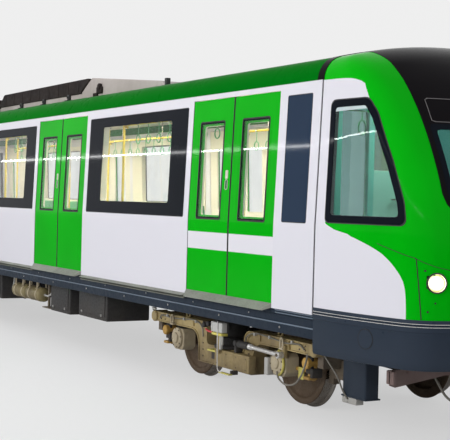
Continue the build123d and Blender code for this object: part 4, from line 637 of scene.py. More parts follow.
def hit(origin, direction, reach=3.0):
    """Where rays leave the cab's form, by halving the span 46 times."""
    lo = np.zeros(np.broadcast(origin[0], direction[0]).shape)
    hi = lo + reach
    for _ in range(46):
        mid = (lo + hi) / 2
        inside = cab_field(*(o + d * mid for o, d in zip(origin, direction))) < 0
        lo, hi = np.where(inside, mid, lo), np.where(inside, hi, mid)
    return [o + d * lo for o, d in zip(origin, direction)]


def lifted(p, lift):
    """Points moved off the cab's form along the slope of its field."""
    e = 2e-3
    g = [cab_field(*[q + (e if k == j else 0) for k, q in enumerate(p)])
         - cab_field(*[q - (e if k == j else 0) for k, q in enumerate(p)]) for j in range(3)]
    size = np.sqrt(g[0] ** 2 + g[1] ** 2 + g[2] ** 2) + 1e-12
    return [q + lift * n / size for q, n in zip(p, g)]


def cab_side(side):
    """Surface of the cab's side as a function of (x, z, lift)."""
    return lambda x, z, lift: lifted(hit((x, 0 * x, z), (0 * x, side + 0 * x, 0 * x)), lift)


def cab_front(y, z, lift):
    """Surface of the cab's front as a function of (y, z, lift)."""
    return lifted(hit((0 * y, y, z), (1 + 0 * y, 0 * y, 0 * y)), lift)


def cab_round(theta, level, lift):
    """Surface of the whole cab: plan angle theta, and level, which is a height up to RAY_Z and
    then RAY_Z plus an elevation, with level rays below and rays from (0, 0, RAY_Z) above."""
    rise, z = np.clip(level - RAY_Z, 0, None), np.minimum(level, RAY_Z)
    d = (np.cos(rise) * np.cos(theta), np.cos(rise) * np.sin(theta), np.sin(rise))
    return lifted(hit((0 * theta, 0 * theta, z), d), lift)


# Cab
def inside_outline(p, outline):
    """Whether points lie in a closed outline: counts its sides that cross a level line."""
    a, b = np.asarray(outline), np.roll(outline, -1, 0)
    x, z = p[:, :1], p[:, 1:]
    cross = (a[:, 1] > z) != (b[:, 1] > z)
    with np.errstate(divide="ignore", invalid="ignore"):
        at = a[:, 0] + (z - a[:, 1]) * (b[:, 0] - a[:, 0]) / (b[:, 1] - a[:, 1])
    return (cross & (x < at)).sum(1) % 2 == 1


def resample(o, n):
    """Closed outline with evenly spaced points along its length."""
    c = np.concatenate([o, o[:1]])
    d = np.concatenate([[0], np.cumsum(np.hypot(*np.diff(c, axis=0).T))])
    at = np.linspace(0, d[-1], n, endpoint=False)
    return np.stack([np.interp(at, d, c[:, 0]), np.interp(at, d, c[:, 1])], 1)


def matched(corners, w, r, n=160):
    """Outline moved in by w with round corners, as n points at the same shares of its length."""
    return resample(rounded(inset(corners, w) if w else corners, r, 8), n)


CAB_WINDOW = [(0.15, 1.808), (0.15, 2.848), (0.614, 2.848), (0.72, 2.72), (0.833, 2.49), (0.921, 2.311),
          (1.0, 2.118), (1.05, 1.99), (1.081, 1.808)]
CAB_CORNERS = (0.05, 0.06, 0.09, 0.3, 0.3, 0.3, 0.3, 0.3, 0.05)
SCREEN = [(-1.005, 1.985), (1.005, 1.985), (1.005, 2.635), (-1.005, 2.635)]
SKIN_FOOT, LAMP_R = 1.062, 0.072
MASK_HALF, MASK_FOOT, MASK_ROUND = 1.05, 1.905, 0.16


def screen_hole(c, half, low, high):
    """Which faces, by their centres, lie in the windscreen's opening."""
    return (np.abs(c[:, 1]) < half) & (c[:, 2] > low) & (c[:, 2] < high) & (c[:, 0] > 0.9)


def cab_skin():
    """Green skin of the cab as one grid, with its window openings left out."""
    t = np.linspace(-pi / 2, pi / 2, 161)
    v = np.concatenate([np.linspace(SKIN_FOOT, RAY_Z, 46), RAY_Z + np.linspace(0, pi / 2, 56)[1:]])
    theta, level = np.meshgrid(t, v, indexing="ij")
    x, y, z = cab_round(theta, level, 0 * theta)
    p = np.stack([np.maximum(x, SEAM), y, z], -1).reshape(-1, 3)
    faces = np.array(quads(len(t), len(v)))
    c = p[faces].mean(1)
    side_hole = inside_outline(c[:, [0, 2]], inset(CAB_WINDOW, 0.045)) & (np.abs(c[:, 1]) > 0.9)
    front_hole = screen_hole(c, 0.985, 2.01, 2.615)
    lamp = np.hypot(np.abs(c[:, 1]) - LAMP[1], c[:, 2] - LAMP[2]) < LAMP_R
    return p, faces[~(side_hole | front_hole | lamp)].tolist()


piece("cab_skin_green", [cab_skin()], paint_green, replaces=("cab_shell",), closed=False, outward=(0, 0, 2))

# White areas of the cab's sides: their front border as (height, place)
WHITE_EDGE = np.array([(1.062, 1.106), (1.15, 1.104), (1.255, 1.098), (1.334, 1.086), (1.389, 1.062),
          (1.454, 1.006), (1.541, 0.908), (1.606, 0.794), (1.657, 0.63), (1.715, 0.455), (1.746, 0.285),
          (1.786, 0.17), (1.8, 0.15), (1.84, 0.165), (2.752, 0.165), (2.762, 0.65), (2.8, 0.638),
          (2.849, 0.617), (2.927, 0.57), (2.975, 0.545), (2.998, 0.505), (3.014, 0.455), (3.026, 0.395),
          (3.033, 0.3), (3.036, 0.2), (3.038, 0.012)])


def white_patch(side):
    """Thin white film on the cab's side, from the seam to its border at each height."""
    heights, places = WHITE_EDGE.T
    z = np.unique(np.concatenate([np.linspace(SKIN_FOOT, heights[-1], 150), heights]))
    span = np.where(z < 1.7, 0.045, 0.0)
    edge = sum(np.interp(z + span * a, heights, places) for a in np.linspace(-1, 1, 9)) / 9
    start, columns = SEAM + 0.0002, 40
    x = start + (edge[:, None] - start) * np.linspace(0, 1, columns)[None, :]
    z = np.repeat(z[:, None], columns, 1)
    return np.stack(cab_side(side)(x, z, np.full(x.shape, 0.0006)), -1).reshape(-1, 3), quads(*x.shape)


piece("cab_white_film", [white_patch(s) for s in SIDES], paint_white, closed=False, outward=(0, 0, 2))

panes, borders, seals = [], [], []
for s in SIDES:
    outline = matched(CAB_WINDOW, 0, CAB_CORNERS)
    borders.append(ring_panel(outline, matched(CAB_WINDOW, 0.06, 0.03), cab_side(s), 0.0025, 6, depth=0.006))
    seals.append(ring_panel(matched(CAB_WINDOW, -0.01, CAB_CORNERS), outline, cab_side(s), 0.0015, 3,
              depth=0.004))
    panes.append(sheet_panel(matched(CAB_WINDOW, 0.052, 0.03), cab_side(s), 0.001, 0.006, 8))
screen, screen_clear = matched(SCREEN, 0, 0.03), matched(SCREEN, 0.045, 0.03)
borders.append(ring_panel(screen, screen_clear, cab_front, 0.0045, 5, depth=0.006))
panes.append(sheet_panel(matched(SCREEN, 0.035, 0.03), cab_front, 0.002, 0.006, 12))
piece("cab_window_borders", borders, frit_black, closed=False, outward=(0, 0, 2))
piece("cab_window_seals", seals, rubber, closed=False, outward=(0, 0, 2))
piece("cab_panes", panes, cab_glass_tint, replaces=("cab_glass",))


def mask_skin():
    """Black mask: for each y, level rays up to RAY_Z, then rays from (0, y, RAY_Z) up to the seam.
    Its foot rises along a circle at both corners, and its rim goes back into the skin."""
    y = np.linspace(-MASK_HALF, MASK_HALF, 97)
    v = np.concatenate([np.linspace(MASK_FOOT, RAY_Z, 16), RAY_Z + np.linspace(0, pi / 2, 70)[1:]])
    y, level = np.meshgrid(y, v, indexing="ij")
    corner = np.maximum(np.abs(y) - MASK_HALF + MASK_ROUND, 0)
    foot = MASK_FOOT + MASK_ROUND - np.sqrt(np.maximum(MASK_ROUND ** 2 - corner ** 2, 0))
    level = np.where(level < RAY_Z, foot + (level - MASK_FOOT) * (RAY_Z - foot) / (RAY_Z - MASK_FOOT), level)
    rise, z = np.clip(level - RAY_Z, 0, None), np.minimum(level, RAY_Z)
    on_form = hit((0 * y, y, z), (np.cos(rise), 0 * y, np.sin(rise)))
    p, rim = np.stack(lifted(on_form, 0.003), -1), np.stack(lifted(on_form, -0.004), -1)
    p[..., 0] = np.maximum(p[..., 0], SEAM + 0.01)
    p = np.concatenate([rim[:1], p, rim[-1:]])
    p = np.concatenate([np.concatenate([rim[:1, :1], rim[:, :1], rim[-1:, :1]]), p], 1)
    faces = np.array(quads(*p.shape[:2]))
    p = p.reshape(-1, 3)
    hole = screen_hole(p[faces].mean(1), 0.975, 2.022, 2.601)
    return p, faces[~hole].tolist()


piece("cab_front_mask", [mask_skin()], mask_black, replaces=("cab_mask",), closed=False, outward=(0, 0, 2))

# Display panel's frame above the windscreen, in thin grey lines
DISPLAY = [(-0.975, 2.65), (0.975, 2.65), (0.962, 2.853), (-0.962, 2.853)]
outer_line = resample(rounded(DISPLAY, 0.01, 5), 120)
inner_line = resample(rounded(inset(DISPLAY, 0.004), 0.008, 5), 120)
display_frame = ring_panel(outer_line, inner_line, cab_front, 0.0075, 2, depth=0.003)
piece("cab_display_frame", [display_frame], frame_line, closed=False, outward=(0, 0, 2))


def surface_line(points, width, surface, lift=0.001, n=24):
    """Narrow ribbon on a surface along a polyline: offset to both sides by half the width."""
    p = np.asarray(points, float)
    d = np.concatenate([[0], np.cumsum(np.hypot(*np.diff(p, axis=0).T))])
    t = np.linspace(0, d[-1], n)
    c = np.stack([np.interp(t, d, p[:, 0]), np.interp(t, d, p[:, 1])], 1)
    g = np.gradient(c, axis=0)
    g /= np.linalg.norm(g, axis=1, keepdims=True)
    side = np.stack([-g[:, 1], g[:, 0]], 1) * width / 2
    two = np.stack([c - side, c + side])
    p = np.stack(surface(two[..., 0], two[..., 1], np.full(two.shape[:2], lift)), -1)
    return p.reshape(-1, 3), quads(2, n)


def circle(r, centre, n=48):
    """Closed round outline."""
    a = np.linspace(0, 2 * pi, n, endpoint=False)
    return np.stack([centre[0] + r * np.cos(a), centre[1] + r * np.sin(a)], 1)


lines = []
for s in SIDES:
    front = lambda y, z, lift, s=s: cab_front(s * y, z, lift)
    lines.append(surface_line([(0.8, 1.655), (0.839, 1.64), (1.0, 1.597), (1.166, 1.55)], 0.006,
              cab_side(s)))
    lines.append(surface_line([(1.166, 1.55), (1.185, 1.35), (1.207, 1.066)], 0.007, cab_side(s)))
    lines.append(surface_line([(1.248, 1.55), (1.189, 1.514), (1.12, 1.487), (1.0, 1.46)], 0.005, front))
    lines += [disc_panel(circle(0.008, spot, 12), front, 0.0012, 3) for spot in ((1.19, 1.455), (1.12, 1.2),
              (1.17, 1.13))]
piece("cab_panel_gaps", lines, gap_dark, closed=False, outward=(0, 0, 2))

# Headlamps: rim, dish, bulb and lens, square to the round corner
LAMP_TURN = radians(25)
RIM = [(0.072, -0.02), (0.072, 0.004), (0.077, 0.007), (0.083, 0.004), (0.084, -0.02)]
DISH = [(0.001, -0.045), (0.03, -0.038), (0.056, -0.022), (0.073, 0.0)]
BULB = [(0.0, 0.002), (0.036, -0.002), (0.062, -0.01), (0.064, -0.016), (0.0, -0.02)]
LENS = [(0.0, 0.014), (0.036, 0.012), (0.064, 0.006), (0.073, 0.0)]
for s in SIDES:
    tag = "right" if s < 0 else "left"
    axis, centre = (cos(LAMP_TURN), s * sin(LAMP_TURN), 0.04), (LAMP[0], s * LAMP[1], LAMP[2])
    carried = ("headlights",) if s > 0 else ()
    piece(f"lamp_rim_{tag}", [lathe(RIM, centre, axis, 48)], rubber, closed=False, outward=centre)
    piece(f"lamp_dish_{tag}", [lathe(DISH, centre, axis, 48)], chrome_dish, replaces=carried, closed=False)
    piece(f"lamp_bulb_{tag}", [lathe(BULB, centre, axis, 32)], lamp_glow)
    piece(f"lamp_lens_{tag}", [lathe(LENS, centre, axis, 48)], lamp_glass, closed=False, outward=centre)


def off_line(x, y, z, lift):
    """Level lines of points along the first index, moved outwards by lift, square to their run."""
    n = np.stack([np.gradient(y, axis=0), -np.gradient(x, axis=0)], -1)
    n /= np.linalg.norm(n, axis=-1, keepdims=True)
    return np.stack([x + lift * n[..., 0], y + lift * n[..., 1], z], -1)


def form_level(turn, heights):
    """The form's level line at FORM_LEVEL by plan angle, repeated for each height of a profile."""
    theta, z = np.meshgrid(turn, heights, indexing="ij")
    x, y, _ = hit((0 * theta, 0 * theta, FORM_LEVEL + 0 * z), (np.cos(theta), np.sin(theta), 0 * theta))
    return x, y, z


def bumper_skin():
    """Bumper skirt: the cab's form at its lower level, carried through a profile of lips."""
    profile = np.array([(1.061, -0.03), (1.061, 0.002), (1.057, 0.004), (1.032, 0.004), (1.028, 0.0),
              (1.026, -0.012), (1.012, -0.012), (1.01, 0.0), (1.006, 0.005), (0.965, 0.005), (0.96, 0.001),
              (0.955, 0.0), (0.72, 0.0), (0.68, -0.003), (0.658, -0.012), (0.655, -0.02), (0.655, -0.045),
              (0.7, -0.048), (1.0, -0.048)])
    x, y, z = form_level(np.linspace(-pi / 2, pi / 2, 181), profile[:, 0])
    p = off_line(x, y, z, 0 * z + profile[:, 1])
    p[..., 0] = np.maximum(p[..., 0], SEAM)
    faces, p = np.array(quads(*z.shape)), p.reshape(-1, 3)
    c = p[faces].mean(1)
    notch = (np.abs(c[:, 1]) < 0.43) & (c[:, 2] < 0.93) & (c[:, 0] > 1.1)
    return p, faces[~notch].tolist()


piece("bumper_skirt", [bumper_skin()], bumper_paint, replaces=("cab_bumper",), closed=False,
      outward=(0, 0, 0.9))

# Saloon shell
def roof_line(depth):
    """Roof's section from right to left: shoulder arc, crown arc, shoulder arc, less a depth."""
    a = np.linspace(LEAN, pi / 2 - SLOPE, 16)
    shoulder = np.stack([ARC_Y + (SHOULDER - depth) * np.cos(a), ARC_Z + (SHOULDER - depth) * np.sin(a)], 1)
    rise = ROOF - END_Z
    big = (END_Y ** 2 + rise ** 2) / (2 * rise)
    b = np.linspace(-SLOPE, SLOPE, 27)[1:-1]
    crown = np.stack([(big - depth) * np.sin(b), ROOF - big + (big - depth) * np.cos(b)], 1)
    return np.concatenate([shoulder * (-1, 1), crown, shoulder[::-1]])


def sweep(section, stations):
    """Closed section of (y, z) points, whose second half runs back, carried along x, ends filled."""
    s, x = np.asarray(section, float), np.asarray(stations, float)
    n = len(s)
    p = np.concatenate([np.stack([np.full(n, v), s[:, 0], s[:, 1]], 1) for v in x])
    faces = quads(len(x), n, wrap_v=True)
    for k in (0, (len(x) - 1) * n):
        faces += [[k + i, k + i + 1, k + n - 2 - i, k + n - 1 - i] for i in range(n // 2 - 1)]
    return p, faces


def layer(outer, inner):
    """Closed section: an outer line, then the inner line run back."""
    return np.concatenate([outer, inner[::-1]])


def upright_strip(x, width, z0, z1, side, lift, depth):
    """Bar up a saloon side: four corners about x, carried up through the waist's bend."""
    z = np.array([z0, WAIST, z1]) if z0 < WAIST < z1 else np.array([z0, z1])
    w = width / 2
    corners = np.array([(-w, lift - depth), (-w, lift - 0.002), (-w + 0.002, lift), (w - 0.002, lift),
              (w, lift - 0.002), (w, lift - depth)])
    xx = np.repeat(x + corners[None, :, 0], len(z), 0)
    zz = np.repeat(z[:, None], len(corners), 1)
    p = np.stack(saloon_surface(side)(xx, zz, np.repeat(corners[None, :, 1], len(z), 0)), -1).reshape(-1, 3)
    n = len(corners)
    return p, quads(len(z), n, wrap_v=True) + [list(range(n)), list(range(len(p) - n, len(p)))]


def frame_panel(outer, inner, surface, front, back, edge=0.003):
    """Closed flat ring between two outlines on a surface, from a front to a back depth, edges rounded."""
    loops = [(outer, back), (outer, front - edge), (inset(outer, edge), front),
             (inset(inner, -edge), front), (inner, front - edge), (inner, back)]
    p = np.stack([np.stack(surface(o[:, 0], o[:, 1], np.full(len(o), d)), -1) for o, d in loops])
    n = len(outer)
    return p.reshape(-1, 3), quads(len(loops), n, wrap_u=True, wrap_v=True)


piece("roof_skin", [sweep(layer(roof_line(0), roof_line(0.07)), np.linspace(REAR, -0.012, 14))], paint_roof,
      replaces=("roof_shell",))
piece("roof_seam_band", [sweep(layer(roof_line(-0.005), roof_line(0.002)), (-0.082, -0.08, 0.012, 0.0145))],
      mask_black)

SILL_Z, HEAD_Z = 1.785, 2.94
clear_panes, tinted_rings, reveals, narrow_panes, window_beads = [], [], [], [], []
door_frames, door_frits, leaf_seals, jamb_seals, button_plates, buttons = [], [], [], [], [], []
for s in SIDES:
    wall = saloon_surface(s)
    for middle, width in BIG_WINDOWS:
        edge = rect(middle - width / 2, middle + width / 2, SILL_Z, HEAD_Z, 0.02)
        clear = rect(middle - width / 2 + 0.41, middle + width / 2 - 0.38, 1.93, 2.82, 0.03)
        clear_panes.append(sheet_panel(inset(edge, 0.004), wall, -0.0015, 0.006, 4))
        tinted_rings.append(ring_panel(inset(edge, 0.004), clear, wall, 0.0, 3, depth=0.0012))
        window_beads.append(frame_panel(edge, inset(edge, 0.007), wall, 0.001, -0.012, 0.001))
        reveals.append(frame_panel(inset(edge, 0.03), inset(clear, -0.012), wall, -0.012, -0.085))
    for middle, width in NARROW_WINDOWS:
        edge = rect(middle - width / 2, middle + width / 2, SILL_Z, HEAD_Z, 0.02)
        narrow_panes.append(sheet_panel(inset(edge, 0.004), wall, 0.0, 0.008, 4))
        window_beads.append(frame_panel(edge, inset(edge, 0.007), wall, 0.001, -0.012, 0.001))
    for door in DOORS:
        for hand in SIDES:
            inner, outer = door + hand * 0.17, door + hand * 0.68
            edge = rect(min(inner, outer), max(inner, outer), 1.775, 2.77, 0.022)
            door_frames.append(frame_panel(inset(edge, -0.002), inset(edge, 0.014), wall, -0.002, -0.016))
            door_frits.append(ring_panel(inset(edge, 0.012), inset(edge, 0.026), wall, -0.0065, 2,
                      depth=0.003))
            clear_panes.append(sheet_panel(inset(edge, 0.012), wall, -0.008, 0.006, 4))
            jamb_seals.append(upright_strip(door + hand * 0.845, 0.009, 1.0, 2.995, s, -0.0035, 0.02))
        leaf_seals.append(upright_strip(door, 0.013, 1.036, 2.989, s, -0.012, 0.04))
        for hand in SIDES:
            leaf_seals.append(upright_strip(door + hand * 0.0095, 0.009, 1.036, 2.989, s, -0.0035, 0.03))
        button_plates.append(sheet_panel(rect(door - 0.107, door - 0.055, 2.185, 2.27, 0.012), wall, -0.003,
                  0.004, 4))
        rim = rect(door - 0.108, door - 0.054, 2.075, 2.18, 0.026)
        button_plates.append(frame_panel(rim, inset(rim, 0.006), wall, -0.001, -0.008, 0.001))
        buttons.append(sheet_panel(inset(rim, 0.007), wall, -0.002, 0.005, 4))
piece("saloon_panes", clear_panes, saloon_glass, replaces=("window_glass_right", "window_glass_left"))
piece("saloon_window_borders", tinted_rings, frit_black, closed=False, outward=(-8, 0, 2))
piece("saloon_window_reveals", reveals, lining)
piece("saloon_window_beads", window_beads, rubber)
piece("narrow_panes", narrow_panes, frit_blue)
piece("door_window_frames", door_frames, rubber)
piece("door_glass_borders", door_frits, frit_black, closed=False, outward=(-8, 0, 2))
piece("door_leaf_seals", leaf_seals, rubber)
piece("door_jamb_seals", jamb_seals, rubber)
piece("door_button_plates", button_plates, silver_plate)
piece("door_buttons", buttons, button_green)

# Saloon inside
LIGHT_Y, CEILING = 0.42, 3.1495
lights, trim = [], []
for s in SIDES:
    y = s * LIGHT_Y
    lights.append(block((-16.6, y - 0.09, 3.134), (-0.82, y + 0.09, CEILING), 0.006))
    trim += [block((-16.7, y + edge - 0.012, 3.12), (-0.76, y + edge + 0.012, CEILING), 0.004)
             for edge in (-0.11, 0.11)]
piece("ceiling_lights", lights, light_panel)
piece("ceiling_light_trims", trim, steel)
piece("floor_covering", [block((-16.86, -1.35, 1.0602), (-0.64, 1.35, FLOOR_TOP), 0.002)], floor_rubber)

# Partition between saloon and cab: spans along x behind it, along y and along z
PARTITION = -0.64


def partition_part(x, y, z, r, n=1):
    """Block in the partition from its spans along x, y and z."""
    return block((PARTITION + x[0], y[0], z[0]), (PARTITION + x[1], y[1], z[1]), r, n)


PLATE, LEAF_X, PANE_X = (0, 0.04), (0.006, 0.034), (0.014, 0.022)
plates = [partition_part(PLATE, y, z, 0.006) for y, z in (((-1.3, 1.3), (FLOOR_TOP, 1.8)),
          ((-1.28, 1.28), (2.86, 3.14)), ((-1.33, -0.82), (1.8, 2.86)), ((0.4, 1.33), (1.8, 2.86)))]
posts = [partition_part((-0.012, 0.062), (y - 0.036, y + 0.036), (FLOOR_TOP, 3.12), 0.008, 2)
         for y in (-0.782, -0.401, 0.02, 0.38)]
door_panels = [partition_part(LEAF_X, (-0.365, -0.016), (1.09, 2.295), 0.012, 2),
          partition_part(LEAF_X, (-0.365, -0.016), (2.8, 2.9), 0.01, 2),
          partition_part(LEAF_X, (0.056, 0.344), (1.09, 2.9), 0.012, 2)]
partition_sheets = [partition_part(PANE_X, (-0.745, -0.438), (1.81, 2.85), 0.002),
          partition_part(PANE_X, (-0.365, -0.016), (2.296, 2.8), 0.002)]
handle = smooth_path([(PARTITION + x, y, 2.02) for x, y in ((0.034, -0.06), (0.085, -0.06), (0.09, -0.1),
          (0.09, -0.17))], 6)
piece("partition_plates", plates, teal, replaces=("cab_partition",))
piece("partition_posts", posts, mint)
piece("partition_door", door_panels, mint_pale)
piece("partition_panes", partition_sheets, partition_glass)
piece("partition_handle", [tube(handle, 0.009, 12)], steel)


def cab_inside(side):
    """Lining of the cab's side as a grid over (x, z), 32 mm inside the skin, holed for its window."""
    share, z = np.meshgrid(np.linspace(0, 1, 60), np.linspace(1.07, 3.1, 70), indexing="ij")
    x = 0.03 + share * (np.minimum(1.16, nose_place(z) - 0.3) - 0.03)
    p = np.stack(cab_side(side)(x, z, np.full(x.shape, -0.032)), -1).reshape(-1, 3)
    faces = np.array(quads(*x.shape))
    c = p[faces].mean(1)
    hole = inside_outline(c[:, [0, 2]], inset(CAB_WINDOW, 0.05))
    return p, faces[~hole].tolist()


piece("cab_side_linings", [cab_inside(s) for s in SIDES], mint_grey, closed=False)
reveal_outer, reveal_inner = matched(CAB_WINDOW, 0.03, 0.04), matched(CAB_WINDOW, 0.064, 0.03)
reveals = [frame_panel(reveal_outer, reveal_inner, cab_side(s), -0.007, -0.034, 0.0) for s in SIDES]
piece("cab_window_reveals", reveals, desk_grey)

# Wheelsets
AXLE_Z, HALF_BASE = 0.42, 1.05
WHEEL = [(0.085, 0.0), (0.085, 0.645), (0.09, 0.655), (0.118, 0.668), (0.125, 0.676), (0.125, 0.705),
         (0.13, 0.715), (0.15, 0.725), (0.2, 0.733), (0.26, 0.742), (0.305, 0.748), (0.33, 0.744),
         (0.345, 0.73), (0.352, 0.7), (0.356, 0.684), (0.362, 0.68), (0.43, 0.68), (0.439, 0.682),
         (0.447, 0.69), (0.4475, 0.697), (0.444, 0.704), (0.43, 0.708), (0.423, 0.712), (0.4205, 0.72),
         (0.415, 0.805), (0.413, 0.811), (0.407, 0.815), (0.362, 0.815), (0.356, 0.811), (0.35, 0.802),
         (0.335, 0.79), (0.305, 0.781), (0.26, 0.775), (0.2, 0.767), (0.155, 0.76), (0.133, 0.766),
         (0.126, 0.778), (0.125, 0.82), (0.121, 0.827), (0.092, 0.84), (0.085, 0.848), (0.085, 0.905),
         (0.064, 0.92), (0.062, 0.925), (0.062, 1.072), (0.059, 1.075), (0.0, 1.075)]
TREAD = [(0.4475, 0.693), (0.4477, 0.698), (0.445, 0.7045), (0.431, 0.7088), (0.4238, 0.7128),
         (0.4212, 0.7205), (0.4158, 0.805), (0.412, 0.804), (0.417, 0.7205), (0.42, 0.71), (0.429, 0.706),
         (0.442, 0.701), (0.444, 0.696), (0.4475, 0.693)]


def wheelset(number, x):
    """Axle and both wheels as one lathe from end to end, with a polished band on each tread."""
    profile = np.array([(r, -y) for r, y in WHEEL[::-1]][:-1] + WHEEL)
    band = np.array(TREAD)
    centre = (x, 0, AXLE_Z)
    body = f"wheelset_body_{number}"
    rings = [lathe(band, centre, (0, 1, 0), 96), lathe(band, centre, (0, -1, 0), 96)]
    seats = [(x + 0.105 * cos(a), AXLE_Z + 0.105 * sin(a)) for a in np.arange(8) * pi / 4]
    marks = [rod((a, s * 0.8255, b), (a, s * 0.833, b), 0.008, 6) for s in SIDES for a, b in seats]
    piece(f"wheels_{number}", [lathe(profile, centre, (0, 1, 0), 96)], wheel_paint, body,
          (f"wheelset_{number}",))
    piece(f"wheel_treads_{number}", rings, tread, body)
    piece(f"hub_plugs_{number}", marks, cast_dirty, body)

# Bogies. Places are (x, y, z) with x ahead of the pivot and y outwards on one side
BEAM_IN, BEAM_OUT, BEAM_END = 0.93, 1.09, 1.65
BEAM_HALF = [(0.575, 0.225), (0.575, 0.555), (1.65, 0.555), (1.65, 0.665), (0.39, 0.665), (0.39, 0.43)]
BEAM_RADII = [0.03, 0.19, 0.02, 0.03, 0.2, 0.06]
BOX_HALF, BOX_LOW, BOX_HIGH, BOX_CUT = 0.13, 0.29, 0.525, 0.045
SPRING_Y, END_ROD_Z, TRANSOM_Z = 1.01, 0.61, 0.35
VALVE_Y, DAMPER_Y, BRAKE_X = BEAM_OUT + 0.115, BEAM_OUT + 0.06, 1.46
BOGIE_PIECES = (("beams", "bogie_beams", cream, "bogie_frame"), ("castings", "axle_box_castings",
          cover_cream, "axle_boxes"), ("bolts", "bogie_bolts", cast_dirty, None),
          ("springs", "bogie_springs", rubber, "springs"), ("rods", "damper_rods", silver_rod, "dampers"),
          ("fittings", "bogie_fittings", under_dark, None), ("boxes", "valve_boxes", pale_box, None),
          ("plates", "marker_plates", yellow_plate, None), ("brakes", "brake_cylinders", ochre_paint, None),
          ("pipes", "bogie_pipes", grey_hose, None))


def beam_outline(p):
    """Swan-neck side beam about the pivot place: low in the middle, arched over both axles."""
    right = [(p + x, z) for x, z in BEAM_HALF]
    left = [(p - x, z) for x, z in BEAM_HALF[::-1]]
    return rounded(right + left, BEAM_RADII + BEAM_RADII[::-1], 9)


def bolts(places, axis, r=0.009, high=0.008):
    """Six-sided bolt heads standing on their places along an axis."""
    head = [(0, 0), (r, 0), (r, high * 0.8), (r * 0.85, high), (0, high)]
    return [lathe(head, place, axis, 6) for place in places]


def bogie_side(p, s):
    """Three ways to place shapes on one side of a bogie: a point, a block and a rod across."""
    def at(x, y, z):
        return p + x, s * y, z

    def slab(x, y, z, r=0.004, n=1):
        return block(at(x[0], y[0], z[0]), at(x[1], y[1], z[1]), r, n)

    def pin(x, y, z, r, n=16, edge=0.1):
        return rod(at(x, y[0], z), at(x, y[1], z), r, n, edge)

    return at, slab, pin


def axle_box(x, s):
    """Axle box with chamfered corners, its round cover and cap, and the cover's bolts."""
    w, c = BOX_HALF, BOX_CUT
    corners = [(-w + c, BOX_LOW), (w - c, BOX_LOW), (w, BOX_LOW + c), (w, BOX_HIGH - c), (w - c, BOX_HIGH),
              (-w + c, BOX_HIGH), (-w, BOX_HIGH - c), (-w, BOX_LOW + c)]
    outline = rounded([(x + a, b) for a, b in corners], 0.02, 4)
    centre, across = (x, s * BEAM_OUT, AXLE_Z), (0, s, 0)
    box = prism(outline, side_place(s), BEAM_IN + 0.002, BEAM_OUT - 0.002, 0.008)
    cover = lathe([(0, 0.036), (0.045, 0.0355), (0.05, 0.03), (0.088, 0.028), (0.094, 0.024),
              (0.112, 0.022), (0.114, 0.018), (0.114, -0.004)], centre, across, 48)
    cap = lathe([(0, 0.049), (0.05, 0.048), (0.058, 0.042), (0.06, 0.034), (0.06, 0.02)], centre, across, 40)
    seats = [(x + 0.102 * cos(a), s * (BEAM_OUT + 0.022), AXLE_Z + 0.102 * sin(a))
             for a in np.arange(8) * pi / 4 + 0.2]
    return [box, cover, cap], bolts(seats, across)


def layered_spring(x, s):
    """Rubber spring between axle box and beam: a lathe whose radius swells between thin plates."""
    t = np.linspace(0, 1, 25)
    r = 0.066 + 0.012 * np.abs(np.sin(t * 3 * pi)) ** 0.5
    z = 0.527 + 0.03 * t
    return lathe([(0, z[0])] + list(zip(r, z)) + [(0, z[-1])], (x, s * SPRING_Y, 0), UP, 32)


def beam_shapes(made, p, s):
    """Side beam with flange, ribs, end rods, lifting rings, axle boxes, springs and bolts."""
    at, slab, pin = bogie_side(p, s)
    outline, across = beam_outline(p), (0, s, 0)
    web, flange = BEAM_OUT - 0.014, BEAM_OUT - 0.012
    made["beams"] += [prism(inset(outline, 0.006), side_place(s), BEAM_IN + 0.01, flange, 0.002),
              frame_panel(outline, inset(outline, 0.013), side_place(s), BEAM_OUT, BEAM_IN, 0.002)]
    around = np.linspace(0, 2 * pi, 12)
    ring = np.stack([0.036 + 0.012 * np.cos(around), 0.012 * np.sin(around)], 1)
    for hand in SIDES:
        rib, stay, end, eye = (hand * x for x in (1.235, 0.7, BEAM_END, 0.96))
        foot = [(p + eye - 0.05, 0.655), (p + eye + 0.05, 0.655), (p + eye + 0.03, 0.672),
                (p + eye - 0.03, 0.672)]
        made["beams"] += [slab((rib - 0.007, rib + 0.007), (web, BEAM_OUT + 0.012), (0.57, 0.652), 0.002),
                  slab((stay - 0.006, stay + 0.006), (web, BEAM_OUT + 0.004), (0.585, 0.65), 0.002),
                  pin(end, (BEAM_IN - 0.004, BEAM_OUT + 0.014), END_ROD_Z, 0.065, 36, 0.15),
                  lathe(ring, at(eye, SPRING_Y, 0.689), (0, 1, 0), 32), prism(rounded(foot, 0.006, 4),
                  side_place(s), 0.992, 1.028, 0.003)]
        shapes, screws = axle_box(p + hand * HALF_BASE, s)
        made["castings"] += shapes
        made["springs"].append(layered_spring(p + hand * HALF_BASE, s))
        seats = [at(hand * 1.45 + d, flange, z) for d in (-0.05, 0.05) for z in (0.59, 0.63)]
        seats += [at(hand * 0.482, flange, z) for z in (0.29, 0.36, 0.43)]
        made["bolts"] += screws + bolts(seats, across)
    made["beams"] += [slab((-0.055, 0.645), (BEAM_OUT, BEAM_OUT + 0.088), (0.25, 0.426), 0.01, 2),
              slab((-0.02, 0.61), (BEAM_OUT + 0.086, BEAM_OUT + 0.092), (0.272, 0.404), 0.003)]
    seats = [at(x, BEAM_OUT + 0.092, z) for x in (0.0, 0.2, 0.4, 0.59) for z in (0.284, 0.392)]
    made["bolts"] += bolts(seats, across, 0.006, 0.005)


